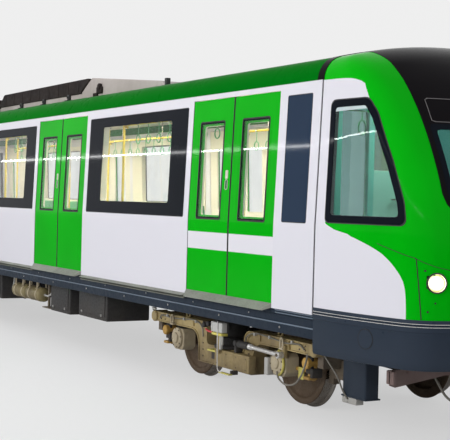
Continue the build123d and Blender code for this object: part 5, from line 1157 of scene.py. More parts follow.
def air_spring(made, p, s):
    """Air spring: seat, bellows whose radius follows a cosine, and top plate."""
    t = np.linspace(-1.2, 1.2, 17)
    bellow = list(zip(0.155 + 0.038 * np.cos(t), 0.655 + 0.095 * np.sin(t) / sin(1.2)))
    centre = (p, s * SPRING_Y, 0)
    made["springs"].append(lathe([(0, 0.545), (0.14, 0.548)] + bellow + [(0.14, 0.762), (0, 0.764)], centre,
              UP, 64))
    seat = [(0, 0.431), (0.17, 0.431), (0.175, 0.436), (0.175, 0.462), (0.155, 0.47), (0.14, 0.49),
            (0.135, 0.545), (0, 0.545)]
    top = [(0, 0.765), (0.165, 0.765), (0.17, 0.77), (0.17, 0.79), (0.165, 0.7995), (0, 0.7995)]
    made["fittings"] += [lathe(seat, centre, UP, 48), lathe(top, centre, UP, 48)]


def valve_gear(made, p, s):
    """Levelling valve on its bracket, yellow plates, cocks and the guard rod round them."""
    at, slab, pin = bogie_side(p, s)
    y = VALVE_Y
    made["beams"] += [slab((0.02, 0.1), (BEAM_OUT - 0.01, y + 0.01), (0.395, 0.412)),
              slab((0.05, 0.095), (y - 0.006, y + 0.008), (0.4, 0.6))]
    made["boxes"] += [slab((0.06, 0.255), (y, y + 0.07), (0.617, 0.722), 0.01, 2),
              slab((0.005, 0.035), (y, y + 0.055), (0.6, 0.722), 0.005),
              slab((0.135, 0.165), (y, y + 0.028), (0.44, 0.59)), rod(at(0.19, y + 0.02, 0.588),
              at(0.19, y + 0.02, 0.49), 0.012, 12)]
    made["plates"] += [slab((0.055, 0.262), (y, y + 0.076), (0.588, 0.615)),
              slab((-0.2, 0.01), (BEAM_OUT + 0.002, BEAM_OUT + 0.095), (0.386, 0.404)),
              slab((0.23, 0.44), (y + 0.035, y + 0.08), (0.214, 0.227))]
    made["fittings"] += [slab((0.045, 0.27), (y - 0.012, y), (0.605, 0.738)),
              slab((-0.19, -0.06), (BEAM_OUT, BEAM_OUT + 0.05), (0.3, 0.386), 0.008),
              rod(at(-0.24, y + 0.01, 0.68), at(0.05, y + 0.01, 0.7), 0.011, 12),
              pin(0.185, (y - 0.01, y + 0.084), 0.742, 0.008, 10),
              slab((0.4, 0.43), (BEAM_OUT + 0.08, y + 0.045), (0.216, 0.26))]
    made["fittings"] += [pin(-0.2 + 0.09 * k, (y - 0.02, y + 0.04), 0.66 + 0.02 * (k % 2), 0.028, 16, 0.25)
              for k in range(3)]
    loop = [at(0.185, y + 0.078, 0.745), at(0.19, y + 0.08, 0.6), at(0.2, y + 0.08, 0.32),
            at(0.205, y + 0.078, 0.255), at(0.225, y + 0.076, 0.232), at(0.28, y + 0.07, 0.225)]
    made["rods"].append(tube(smooth_path(loop, 8), 0.0055, 8, (1, 0, 0)))


def damper(made, p, s):
    """Damper along the beam: dark body, bright rod, eyes and brackets."""
    at, slab, pin = bogie_side(p, s)
    y = DAMPER_Y
    made["fittings"] += [rod(at(0.4, y, 0.525), at(0.6, y, 0.522), 0.038, 24, 0.2),
              pin(0.345, (BEAM_OUT - 0.01, y + 0.028), 0.527, 0.03, 20, 0.2),
              slab((0.33, 0.37), (BEAM_OUT - 0.004, y + 0.018), (0.43, 0.53), 0.006)]
    made["rods"] += [rod(at(0.58, y, 0.522), at(1.15, y, 0.51), 0.0215, 24, 0.2),
              rod(at(0.6, y, 0.522), at(0.655, y, 0.521), 0.03, 24, 0.2), pin(1.165, (y - 0.034, y + 0.034),
              0.51, 0.034, 20, 0.2)]
    made["beams"].append(slab((1.13, 1.2), (BEAM_OUT - 0.01, y - 0.03), (0.48, 0.6), 0.006))
    made["bolts"] += bolts([at(1.165, y + 0.034, 0.51)], (0, s, 0), 0.016, 0.012)


def axle_sensor(made, p, s):
    """Sensor box beside the front axle box, and the yellow ring on its cover."""
    at, slab, _ = bogie_side(p, s)
    made["boxes"].append(slab((0.88, 0.945), (BEAM_OUT - 0.03, BEAM_OUT + 0.055), (0.285, 0.455), 0.008, 2))
    t = np.linspace(-1.25, 1.35, 20)
    x, y, z = at(HALF_BASE + 0.122 * np.cos(t), np.full(20, BEAM_OUT + 0.016), AXLE_Z + 0.122 * np.sin(t))
    made["plates"].append(tube(np.stack([x, y, z], 1), 0.013, 10, (0, 1, 0)))


def brake_gear(made, p, s):
    """Brake gear beyond both axle boxes: cylinder, lever, clamps, arm, and the eye on the beam."""
    at, slab, pin = bogie_side(p, s)
    around = np.linspace(0, 2 * pi, 33)
    for hand in SIDES:
        b = hand * BRAKE_X
        fork = [(-0.085, 0.31), (0.015, 0.29), (0.045, 0.36), (0.02, 0.52), (-0.06, 0.54)]
        fork = rounded([(p + b + x, z) for x, z in fork], 0.02, 5)
        made["brakes"] += [pin(b - 0.02, (0.905, 1.045), 0.46, 0.055, 32, 0.15),
                  prism(fork, side_place(s), 0.935, 0.965, 0.005),
                  slab((b - 0.065, b + 0.035), (0.93, 1.03), (0.305, 0.335), 0.01, 2),
                  slab((hand * (HALF_BASE + 0.12), hand * 1.41), (0.94, 0.968), (0.36, 0.392), 0.006)]
        made["fittings"] += [slab((b - 0.07, b + 0.03), (0.97, 1.0), (0.36, 0.555), 0.008),
                  slab((b + 0.03, b + 0.075), (0.9, 1.02), (0.33, 0.42), 0.01, 2)]
        made["plates"].append(slab((hand * 1.24, hand * 1.33), (0.969, 0.983), (0.285, 0.4), 0.006))
        high = 0.052 * np.sign(np.sin(around)) * np.abs(np.sin(around)) ** 0.7
        x, y, z = at(hand * 1.147 + 0.024 * np.cos(around), np.full(33, 1.12), 0.618 + high)
        made["castings"] += [tube(np.stack([x, y, z], 1), 0.0095, 10, (0, 1, 0)),
                  slab((hand * 1.11, hand * 1.184), (BEAM_OUT - 0.014, 1.132), (0.557, 0.575), 0.006)]


def bogie_pipes(made, p, s):
    """Pipes along the beam with their clips, and the cable hanging round the front axle box."""
    at, slab, _ = bogie_side(p, s)
    for hand in SIDES:
        over = [at(hand * x, y, z) for x, y, z in ((0.45, 1.098, 0.5), (0.47, 1.104, 0.6),
                  (0.62, 1.1, 0.655), (0.9, 1.098, 0.646), (1.2, 1.106, 0.628), (1.42, 1.102, 0.64),
                  (1.5, 1.095, 0.6))]
        made["pipes"].append(tube(smooth_path(over, 8), 0.0075, 8))
        made["boxes"] += [slab((hand * d - 0.01, hand * d + 0.01), (BEAM_OUT - 0.004, BEAM_OUT + 0.022),
                  (0.63, 0.662), 0.003) for d in (0.62, 0.9, 1.3)]
    cable = [at(1.1, 1.135, 0.345), at(1.16, 1.15, 0.285), at(1.28, 1.15, 0.245), at(1.42, 1.14, 0.27),
             at(1.5, 1.12, 0.36), at(1.54, 1.1, 0.48), at(1.55, 1.088, 0.565)]
    made["pipes"].append(tube(smooth_path(cable, 8), 0.009, 10))


def cross_members(made, p):
    """Transoms, end rods and centre piece that join both side beams."""
    for hand in SIDES:
        x, end = p + hand * 0.23, p + hand * BEAM_END
        made["beams"] += [rod((x, -BEAM_IN - 0.02, TRANSOM_Z), (x, BEAM_IN + 0.02, TRANSOM_Z), 0.07, 40),
                  rod((end, -BEAM_IN, END_ROD_Z), (end, BEAM_IN, END_ROD_Z), 0.045, 32),
                  block((p - 0.23, hand * 0.125, 0.335), (p + 0.23, hand * 0.195, 0.515), 0.012, 2)]
        made["beams"] += [rod((x, s * 0.885, TRANSOM_Z), (x, s * 0.925, TRANSOM_Z), 0.095, 40, 0.15)
                  for s in SIDES]
    socket = [(0.075, 0.332), (0.15, 0.332), (0.156, 0.338), (0.156, 0.512), (0.15, 0.518), (0.075, 0.518),
              (0.075, 0.332)]
    made["beams"].append(lathe(socket, (p, 0, 0), UP, 40))


def bogie(name, p, first):
    """One bogie about its pivot place: its pieces by finish, then its two wheelsets."""
    body = f"{name}_bogie"
    made = {key: [] for key, *_ in BOGIE_PIECES}
    for s in SIDES:
        for build in (beam_shapes, air_spring, valve_gear, damper, axle_sensor, brake_gear, bogie_pipes):
            build(made, p, s)
        lever = [(p - 0.12, s * (VALVE_Y + 0.045), 0.622), (p - 0.05, s * (VALVE_Y + 0.05), 0.61),
                 (p + 0.04, s * (VALVE_Y + 0.05), 0.606)]
        lever = tube(smooth_path(lever, 6), 0.011, 10)
        piece(f"{name}_valve_lever_{'right' if s < 0 else 'left'}", [lever], red_plastic, body)
    cross_members(made, p)
    for key, title, finish, node in BOGIE_PIECES:
        piece(f"{name}_{title}", made[key], finish, body, (f"{name}_{node}",) if node else ())
    for k, hand in enumerate((1, -1)):
        wheelset(first + k, p + hand * HALF_BASE)


for (name, p), first in zip(BOGIES, (1, 3)):
    bogie(name, p, first)

# Roof units
UNIT_HALF, COVER_LOW, COVER_FOOT = 0.85, 3.4, 3.425
FAIRING = 0.33
UNITS = (("front", -6.36, 3.598, -9.95, -10.15), ("rear", -10.5, 3.558, -15.4, -15.7))
UNIT_END = 3.45
UNIT_PIECES = (("bases", unit_pale, ("hvac_units",)), ("covers", unit_top, ()), ("curbs", under_dark, ()),
          ("fans", rubber, ()), ("brackets", under_dark, ()), ("latches", unit_top, ()))


def roof_fan(made, centre):
    """Fan in a cover: curb, wire rings and two stays over a hub with six blades."""
    x, y, top = centre
    curb = [(0.29, 0), (0.29, 0.012), (0.294, 0.0145), (0.308, 0.0145), (0.312, 0.011), (0.314, 0.0),
            (0.29, 0)]
    made["curbs"].append(lathe(curb, centre, UP, 64))
    hub = [(0, -0.02), (0.07, -0.02), (0.084, -0.012), (0.09, 0.0), (0.086, 0.006), (0, 0.01)]
    made["fans"].append(lathe(hub, centre, UP, 32))
    points, faces = block((0.07, -0.07, 0.0015), (0.275, 0.07, 0.0045), 0.0012)
    made["fans"] += [turned((points + np.array(centre), faces), 60 * k, "Z", centre) for k in range(6)]
    for r in (0.13, 0.17, 0.21, 0.25):
        wire = [(r - 0.002, 0.01), (r + 0.002, 0.01), (r + 0.002, 0.0135), (r - 0.002, 0.0135),
                (r - 0.002, 0.01)]
        made["curbs"].append(lathe(wire, centre, UP, 48))
    for dx, dy in ((0.295, 0), (0, 0.295)):
        made["curbs"].append(rod((x - dx, y - dy, top + 0.0085), (x + dx, y + dy, top + 0.0085), 0.004, 8))


def roof_unit(made, name, start, top, slope_start, back):
    """One cooling unit: cover with sloped ends over a base, with fans, ribs and side brackets."""
    wide = UNIT_HALF + 0.012
    if name == "front":
        fairing = [(-4.1, 3.3), (-4.1, 3.34), (-4.26, COVER_LOW), (start, top - 0.001),
                  (start - FAIRING, COVER_FOOT), (start - FAIRING, 3.3)]
        fairing = rounded(fairing, (0.005, 0.03, 0.08, 0.02, 0.01, 0.005), 5)
        made["bases"].append(prism(fairing, side_place(1), -UNIT_HALF, UNIT_HALF, 0.01))
        start += 0.004
        low = start - FAIRING
    else:
        low = start + 0.13
    cover = [(start, top), (low, COVER_FOOT), (low, COVER_LOW), (back, COVER_LOW), (back, UNIT_END),
             (slope_start, top)]
    cover = rounded(cover, (0.03, 0.01, 0.006, 0.006, 0.02, 0.05), 5)
    made["covers"].append(prism(cover, side_place(1), -wide, wide, 0.01))
    made["bases"].append(block((back + 0.01, -UNIT_HALF + 0.004, 3.29), (low - 0.004, UNIT_HALF - 0.004,
              3.405), 0.006))
    for k in range(4):
        roof_fan(made, (slope_start + (k + 0.6) * 0.78, 0, top))
    for s in SIDES:
        side = s * UNIT_HALF
        for x in np.arange(low - 0.45, back + 0.2, -0.98):
            made["brackets"] += [block((x - 0.035, side - s * 0.01, 3.335),
                      (x + 0.035, side + s * 0.03, 3.415), 0.006), rod((x, side + s * 0.028, 3.375),
                      (x, side + s * 0.045, 3.375), 0.016, 12), block((x - 0.05, side + s * 0.002, 3.322),
                      (x + 0.05, side + s * 0.06, 3.338), 0.004)]
        if name == "front":
            made["latches"] += [block((-6.14, side - s * 0.006, 3.36), (-5.96, side + s * 0.03, 3.455),
                      0.02, 2), rod((-6.03, side, 3.455), (-6.03, side + s * 0.045, 3.455), 0.042, 20, 0.2),
                      block((-6.26, side - s * 0.006, 3.33), (-6.12, side + s * 0.025, 3.38), 0.012, 2)]
        for k in range(9):
            x = low - 0.1 + k * (slope_start - low + 0.2) / 8
            made["covers"].append(block((x - 0.008, side + s * 0.006, COVER_FOOT),
                      (x + 0.008, side + s * 0.016, top - 0.012), 0.002))


made = {key: [] for key, *_ in UNIT_PIECES}
for unit in UNITS:
    roof_unit(made, *unit)
made["brackets"].append(block((-4.13, -0.855, 3.335), (-4.07, -0.8, 3.42), 0.008, 2))
for key, finish, nodes_under in UNIT_PIECES:
    piece(f"roof_unit_{key}", made[key], finish, replaces=nodes_under)

# Equipment boxes below the floor: share of the bay, length, side, inner face, underside, fins
BAY_FRONT, BAY = -3.96, 8.3
BOX_OUT = 1.25
EQUIPMENT = ((0.155, 0.9, -1, 0.65, 0.43, 0), (0.288, 0.7, -1, 0.5, 0.4, 0), (0.68, 1.7, -1, 0.3, 0.38, 14),
          (0.896, 1.3, -1, 0.45, 0.42, 0), (0.21, 1.5, 1, 0.45, 0.4, 0), (0.668, 2.0, 1, 0.35, 0.36, 16),
          (0.92, 1.2, 1, 0.5, 0.42, 0))
cases, lids, catches, fins = [], [], [], []
for share, length, s, inner, bottom, ribs in EQUIPMENT:
    back, front = BAY_FRONT - share * BAY - length / 2, BAY_FRONT - share * BAY + length / 2
    cases.append(block((back, s * inner, bottom), (front, s * (BOX_OUT - 0.01), 0.948), 0.018, 2))
    lid = rect(back + 0.05, front - 0.05, bottom + 0.05, 0.9, 0.02)
    lids.append(prism(lid, side_place(s), BOX_OUT - 0.014, BOX_OUT, 0.004))
    for x in np.linspace(back + 0.09, front - 0.09, ribs):
        fins.append(block((x - 0.006, s * (BOX_OUT - 0.004), bottom + 0.09),
                  (x + 0.006, s * (BOX_OUT + 0.016), 0.86), 0.003))
    for x in np.linspace(back + 0.14, front - 0.14, max(2, round(length / 0.4))):
        catches.append(block((x - 0.018, s * (BOX_OUT - 0.002), bottom + 0.052),
                  (x + 0.018, s * (BOX_OUT + 0.012), bottom + 0.082), 0.004))
        hinge = s * (BOX_OUT + 0.004)
        catches.append(rod((x - 0.03, hinge, 0.893), (x + 0.03, hinge, 0.893), 0.009, 12))
piece("equipment_cases", cases, under_dark, replaces=("equipment_boxes",))
piece("equipment_lids", lids, under_dark)
piece("equipment_cooling_fins", fins, cast_dirty)
piece("equipment_catches", catches, steel)

# Air tanks with straps and pipes
TANK_R, TANK_HALF, TANK_Y, TANK_Z = 0.1, 0.245, 1.15, 0.565
dome = [(TANK_R * sin(a), -TANK_HALF - 0.045 * cos(a)) for a in np.linspace(0, pi / 2, 8)]
weld_bead = [(TANK_R, -0.01), (TANK_R + 0.002, 0.0), (TANK_R, 0.01)]
tank_line = dome + weld_bead + [(r, -h) for r, h in dome[::-1]]
strap_line = [(TANK_R, -0.015), (TANK_R + 0.004, -0.014), (TANK_R + 0.004, 0.014), (TANK_R, 0.015)]
tanks, straps, tank_pipes = [], [], []
for s in SIDES:
    y = s * TANK_Y
    for share in (0.419, 0.489):
        middle = BAY_FRONT - share * BAY
        tanks.append(lathe(tank_line, (middle, y, TANK_Z), (1, 0, 0), 40))
        for x in (middle - 0.15, middle + 0.15):
            straps.append(lathe(strap_line, (x, y, TANK_Z), (1, 0, 0), 40))
            straps += [block((x - 0.016, y + low, 0.6), (x + 0.016, y + low + 0.015, 0.952), 0.004)
                      for low in (-0.075, 0.06)]
            straps.append(rod((x, y - 0.095, 0.655), (x, y + 0.095, 0.655), 0.008, 10))
        tank_pipes.append(rod((middle + 0.285, y, TANK_Z), (middle + 0.31, y, TANK_Z), 0.018, 12))
    feed = [(-7.13, y, 0.565), (-7.02, y, 0.565), (-6.96, y - s * 0.03, 0.62), (-6.95, y - s * 0.05, 0.8),
            (-6.95, y - s * 0.05, 0.945)]
    drain = [(-8.38, y, 0.565), (-8.5, y, 0.57), (-8.56, y - s * 0.04, 0.66), (-8.56, y - s * 0.05, 0.945)]
    tank_pipes += [tube(smooth_path(path, 6), 0.012, 10) for path in (feed, drain)]
    # Slanted drain pipe behind the front bogie
    tank_pipes.append(rod((-3.74, s * 1.16, 0.86), (-3.63, s * 1.16, 0.705), 0.02, 14))
    tank_pipes.append(rod((-3.642, s * 1.16, 0.722), (-3.622, s * 1.16, 0.694), 0.026, 14))
piece("air_tank_shells", tanks, tank_cream, replaces=("air_tanks",))
piece("air_tank_straps", straps, cover_cream)
piece("under_floor_pipes", tank_pipes, pale_box)

# Foot bracket with two square windows, and the tray below it
FOOT_Y = 1.155
bracket = []
for s in SIDES:
    bracket += [block((-6.72, s * FOOT_Y, z - 0.012), (-6.18, s * (FOOT_Y + 0.03), z + 0.012), 0.004)
              for z in (0.425, 0.555)]
    bracket += [block((x - 0.018, s * FOOT_Y, 0.425), (x + 0.018, s * (FOOT_Y + 0.028), 0.555), 0.004)
              for x in (-6.7, -6.44, -6.2)]
    bracket.append(block((-7.12, s * (FOOT_Y - 0.1), 0.398), (-6.16, s * (FOOT_Y + 0.045), 0.412), 0.005))
    bracket += [block((x, s * (FOOT_Y - 0.05), 0.41), (x + 0.04, s * (FOOT_Y - 0.02), 0.95), 0.004)
              for x in (-7.08, -6.24)]
    bracket.append(rod((-6.57, s * (FOOT_Y + 0.01), 0.49), (-6.57, s * (FOOT_Y + 0.035), 0.49), 0.035, 20,
              0.2))
piece("under_floor_brackets", bracket, cast_dirty)

# Sole bars, with their ridge and lip, one section carried along each side, and pale strips on the ridge and
# lip as painted highlights
SOLE, BUMPER_BACK = 1.392, -0.64
SOLE_LINE = [(1.304, 0.77), (SOLE - 0.01, 0.77), (SOLE, 0.858), (SOLE, 0.868), (SOLE - 0.01, 0.878),
          (SOLE - 0.01, 0.936), (SOLE + 0.013, 0.95), (SOLE + 0.013, 0.991), (1.304, 0.991)]
# Strips of painted highlight: x span, y span outwards from the sole, z span and rounding
SOLE_EDGES = ((-16.88, -0.02, -0.001, 0.0025, 0.8565, 0.8695, 0.0015), (-16.88, BUMPER_BACK, 0.0125, 0.015,
          0.9865, 0.9905, 0.001), (BUMPER_BACK, -0.02, 0.012, 0.017, 0.952, 0.961, 0.002),
          (BUMPER_BACK, -0.02, 0.012, 0.02, 0.976, 0.984, 0.002))
sole_parts, edges, glints = [], [], []
for s in SIDES:
    across = cross_place(s)
    sole_parts.append(prism(rounded(SOLE_LINE, 0.004, 4), across, -16.898, -0.002, 0.002))
    edges += [block((x0, s * (SOLE + y0), z0), (x1, s * (SOLE + y1), z1), r)
              for x0, x1, y0, y1, z0, z1, r in SOLE_EDGES]
    for x in np.arange(-16.4, -0.3, 1.13):
        glints += bolts([(x, s * (SOLE - 0.003), 0.825)], (0, s, 0), 0.011, 0.007)
        glints += bolts([(x + 0.565, s * (SOLE - 0.01), 0.907)], (0, s, 0), 0.008, 0.006)
piece("sole_bar_sections", sole_parts, dark_paint, replaces=("sole_bars",))
piece("sole_bar_edge_strips", edges, sole_edge)
piece("sole_bar_bolts", glints, steel)

# Guards ahead of the first wheels, and the plate under the bumper
GUARD_TAPER = [(0.1, 0.575), (1.04, 0.575), (1.04, 0.445), (0.98, 0.425), (0.45, 0.5), (0.1, 0.505)]
guards, guard_feet, guard_plates, front_pipes = [], [], [], []
for s in SIDES:
    upright = rounded([(-0.195, 0.795), (0.155, 0.795), (0.155, 0.948), (-0.195, 0.948)], 0.02, 5)
    guards += [prism(upright, lambda a, b, h, s=s: (a, s * b, h), 0.238, 0.6, 0.006),
              block((-0.08, s * 0.83, 0.59), (0.08, s * 0.91, 0.948), 0.006),
              block((-0.2, s * 0.785, 0.232), (0.165, s * 0.955, 0.246), 0.004)]
    guard_feet += [block((-0.195, s * 0.86, 0.172), (0.02, s * 0.945, 0.234), 0.008, 2),
              block((-0.19, s * 0.944, 0.18), (-0.11, s * 0.949, 0.228), 0.002)]
    guard_plates += [prism(rounded(GUARD_TAPER, 0.008, 4), cross_place(s), 0.6, 0.618, 0.003),
              block((0.565, s * 0.1, 0.553), (0.612, s * 1.03, 0.572), 0.004),
              block((0.565, s * 1.005, 0.455), (0.665, s * 1.04, 0.57), 0.006),
              block((0.58, s * 0.66, 0.57), (0.64, s * 0.74, 0.948), 0.006),
              rod((0.55, s * 0.3, 0.52), (0.7, s * 0.3, 0.52), 0.022, 16)]
    guard_plates += bolts([(0.618, s * y, 0.545) for y in (0.25, 0.45, 0.65, 0.85)], (1, 0, 0), 0.01, 0.008)
    hose = [(0.5, s * 0.52, 0.56), (0.6, s * 0.52, 0.46), (0.7, s * 0.5, 0.34), (0.76, s * 0.44, 0.29),
            (0.78, s * 0.36, 0.31), (0.72, s * 0.31, 0.42), (0.66, s * 0.3, 0.52)]
    lead = [(-0.42, s * 1.02, 0.6), (-0.3, s * 1.03, 0.52), (-0.2, s * 1.0, 0.4), (-0.16, s * 0.965, 0.28),
            (-0.1, s * 0.955, 0.215)]
    front_pipes += [tube(smooth_path(hose, 8), 0.011, 12), tube(smooth_path(lead, 8), 0.008, 10)]
piece("wheel_guards", guards, bumper_paint, replaces=("deflectors",))
piece("wheel_guard_feet", guard_feet, pale_box)
piece("guard_plates", guard_plates, pink_dust)
piece("front_hoses", front_pipes, grey_hose)

# Coupler
COUPLER_Z, PIVOT_X, HEAD_FACE = 0.65, 0.35, 1.7795
COUPLER = "coupler_arm"


def coupler_head():
    """Head in the round: rounded sections along x that swell from the shank to the face plate,
    with the cone and the funnel turned about their own lines."""
    sections = [(1.425, 0.06, 0.06), (1.435, 0.12, 0.095), (1.5, 0.136, 0.105), (1.6, 0.172, 0.132),
              (1.652, 0.188, 0.148), (1.665, 0.19, 0.15), (1.765, 0.19, 0.15), (1.775, 0.186, 0.146),
              (HEAD_FACE, 0.178, 0.138)]
    loops = []
    for x, w, h in sections:
        o = rounded([(-w, -h), (w, -h), (w, h), (-w, h)], min(0.06, w * 0.6, h * 0.6), 6)
        loops.append(np.stack([np.full(len(o), x), o[:, 0], COUPLER_Z + o[:, 1]], 1))
    n, last = len(loops[0]), (len(loops) - 1) * len(loops[0])
    ends = [list(range(n)), list(range(last, last + n))]
    head = np.concatenate(loops), quads(len(loops), n, wrap_v=True) + ends
    cone = lathe([(0, 1.77), (0.066, 1.772), (0.064, 1.782), (0.055, 1.81), (0.036, 1.88), (0.03, 1.893),
              (0.018, 1.899), (0, 1.8995)], (0, -0.095, COUPLER_Z), AHEAD, 48)
    funnel = lathe([(0.096, 1.775), (0.096, 1.784), (0.09, 1.787), (0.078, 1.784), (0.074, 1.772),
              (0.04, 1.7), (0, 1.698)], (0, 0.095, COUPLER_Z), AHEAD, 48)
    return [head, cone, funnel]


eye = [(0.033, 0.603), (0.07, 0.603), (0.077, 0.61), (0.077, 0.69), (0.07, 0.697), (0.033, 0.697)]
collar = [(0.054, -0.03), (0.064, -0.027), (0.066, 0.0), (0.064, 0.027), (0.054, 0.03)]
shank = [rod((PIVOT_X, 0, COUPLER_Z), (1.44, 0, COUPLER_Z), 0.046, 36),
         rod((0.47, 0, COUPLER_Z), (1.44, 0, COUPLER_Z), 0.055, 36), lathe(eye, (PIVOT_X, 0, 0), UP, 40)]
shank += [lathe(collar, (x, 0, COUPLER_Z), AHEAD, 36) for x in (0.52, 0.98, 1.34)]
TURNS, STEPS = 12, 16
t = np.linspace(0, TURNS * 2 * pi, TURNS * STEPS)
coil = np.stack([0.58 + 0.35 * t / t[-1], 0.066 * np.cos(t), COUPLER_Z + 0.066 * np.sin(t)], 1)
air_end = [(0, 0.02), (0.012, 0.02), (0.014, 0.014), (0.024, 0.012), (0.026, 0.0), (0.026, -0.03)]
air_ends = [lathe(air_end, (1.781, y, z), AHEAD, 24) for y, z in ((-0.13, 0.755), (0.13, 0.755),
          (0.0, 0.545))]
head_seats = [(1.779, y, z) for y in (-0.165, 0.165) for z in (0.53, 0.65, 0.77)]
piece("coupler_head", coupler_head(), cast_dirty, COUPLER, ("coupler",))
piece("coupler_shank", shank, under_dark, COUPLER)
piece("coupler_spring", [tube(coil, 0.007, 8, (0.3, 0.2, 1))], steel, COUPLER)
piece("coupler_air_ends", air_ends, brass, COUPLER)
piece("coupler_bolts", bolts(head_seats, AHEAD, 0.01, 0.008), steel, COUPLER)
LUG = [(0.15, -0.077), (0.427, -0.077), (0.427, 0.077), (0.15, 0.077)]
mount = [block((0.142, -0.168, 0.492), (0.198, 0.168, 0.948), 0.01, 2)]
lug = rounded(LUG, (0.004, 0.037, 0.037, 0.004), 8)
mount += [prism(lug, level_place, z - 0.017, z + 0.017, 0.004) for z in (0.5835, 0.7165)]
mount.append(rod((PIVOT_X, 0, 0.56), (PIVOT_X, 0, 0.74), 0.028, 24, 0.2))
mount += bolts([(0.198, y, z) for y in (-0.13, 0.13) for z in (0.53, 0.65, 0.8, 0.9)], AHEAD, 0.014, 0.012)
piece("coupler_bracket", mount, cast_dirty, replaces=("coupler_mount",))

# Rear drawbar and its bracket
BAR_Z = 0.62
bar_eye = [(0.036, 0.571), (0.078, 0.571), (0.084, 0.577), (0.084, 0.663), (0.078, 0.669), (0.036, 0.669),
          (0.036, 0.571)]
bar = [block((-16.618, -0.168, 0.522), (-16.502, 0.168, 0.948), 0.01, 2),
       rod((-16.62, 0, BAR_Z), (-17.16, 0, BAR_Z), 0.049, 32), lathe(bar_eye, (-17.215, 0, 0), UP, 40),
       lathe([(0.048, -0.02), (0.066, -0.018), (0.066, 0.018), (0.048, 0.02)], (-16.66, 0, BAR_Z), AHEAD,
          32)]
bar += bolts([(-16.618, y, z) for y in (-0.13, 0.13) for z in (0.56, 0.7, 0.8, 0.9)], BACKWARD, 0.014, 0.012)
piece("drawbar_and_bracket", bar, cast_dirty, replaces=("rear_drawbar",))

# Gangway and rear end
END_FACE, LOOP_POINTS = -16.916, 120


def doorway_loop(half, bottom, top, r):
    """Rounded outline round the end doorway, in points that match those of its other outlines."""
    corners = [(-half, bottom), (half, bottom), (half, top), (-half, top)]
    return resample(rounded(corners, r, 8), LOOP_POINTS)


def bellows_ring(x0, x1, folds=4):
    """Folded cloth round the doorway: a rounded frame outline whose reach follows waves along x."""
    base = doorway_loop(0.63, 0.965, 2.985, 0.09)
    x = np.linspace(x0, x1, folds * 14 + 1)
    reach = 0.04 * (0.5 - 0.5 * np.cos((x - x0) / (x1 - x0) * folds * 2 * pi)) ** 0.7

    def loop(a, out):
        """The doorway's outline at place a, moved outwards."""
        return np.stack([np.full(LOOP_POINTS, a), *inset(base, -out).T], 1)

    outer = [loop(a, 0.028 + w) for a, w in zip(x, reach)]
    inner = [loop(a, 0.004 + w) for a, w in zip(x[::-1], reach[::-1])]
    p = np.stack(outer + inner)
    return p.reshape(-1, 3), quads(len(p), LOOP_POINTS, wrap_u=True, wrap_v=True)


def end_plane(a, b, lift):
    """Upright plane across the car: x is the lift."""
    return lift + 0 * a, a, b


end_frame = frame_panel(doorway_loop(0.66, 0.952, 3.02, 0.1), doorway_loop(0.6, 1.005, 2.965, 0.06),
          end_plane, -17.15, -17.198, -0.003)
clamp = frame_panel(doorway_loop(0.7, 0.952, 3.05, 0.12), doorway_loop(0.62, 1.0, 2.975, 0.07), end_plane,
          -16.902, END_FACE, -0.002)
screw_seats = [(END_FACE, y, z) for y in (-0.68, 0.68) for z in np.arange(1.05, 3.0, 0.24)]
screw_seats += [(END_FACE, y, 3.03) for y in np.arange(-0.55, 0.6, 0.22)]
piece("gangway_bellows", [bellows_ring(-16.905, -17.15)], bellows_cloth, replaces=("gangway",))
piece("gangway_end_frame", [end_frame], steel)
piece("gangway_floor_plate", [block((-17.195, -0.6, 1.012), (-16.905, 0.6, 1.028), 0.004)], step_metal)
piece("gangway_clamp_frame", [clamp], dark_paint)
piece("gangway_clamp_screws", bolts(screw_seats, BACKWARD, 0.009, 0.006), steel)
rear_seam = sweep(layer(roof_line(-0.004), roof_line(0.02)), (-16.9005, -16.896, -16.87, -16.866))
piece("rear_roof_band", [rear_seam], mask_black)
sockets = []
for y in (-1.02, 1.02):
    sockets += [block((-16.93, y - 0.075, 1.1), (-16.899, y + 0.075, 1.24), 0.01, 2),
              rod((-16.93, y, 1.17), (-16.965, y, 1.17), 0.048, 28, 0.15),
              rod((-16.965, y, 1.17), (-16.985, y, 1.17), 0.034, 24, 0.2)]
    cable = [(-16.99, y, 1.17), (-17.04, y, 1.15), (-17.07, y * 0.94, 1.02), (-17.05, y * 0.86, 0.9),
             (-16.97, y * 0.82, 0.86), (-16.9, y * 0.8, 0.86)]
    sockets.append(tube(smooth_path(cable, 8), 0.019, 14))
piece("rear_jumper_cables", sockets, rubber)
rungs = []
for y in (-1.18, 1.18):
    for z in (1.5, 1.9, 2.3, 2.7):
        half = [(-16.9, -0.12), (-16.945, -0.12), (-16.955, -0.09)]
        rung = [(x, y + d, z) for x, d in half] + [(x, y - d, z) for x, d in half[::-1]]
        rungs.append(tube(smooth_path(rung, 5), 0.01, 10))
piece("rear_end_rungs", rungs, steel)

# Round caps of the bumper, and pale lines along its lips as painted highlights
CAP = (0.699, 0.862)


def skirt_side(side):
    """Surface of the bumper's side, upright below the cab's form, as a function of (x, z, lift)."""
    return lambda x, z, lift: cab_side(side)(x, FORM_LEVEL + 0 * z, lift)[:2] + [z]


caps = [ring_panel(circle(0.086, CAP), circle(0.08, CAP), skirt_side(s), 0.0012, 2, depth=0.004)
        for s in SIDES]
cap_discs = [sheet_panel(circle(0.079, CAP), skirt_side(s), 0.002, 0.004, 4) for s in SIDES]
piece("bumper_cap_gaps", caps, gap_dark, closed=False, outward=(0, 0, 0.9))
piece("bumper_round_caps", cap_discs, bumper_paint)


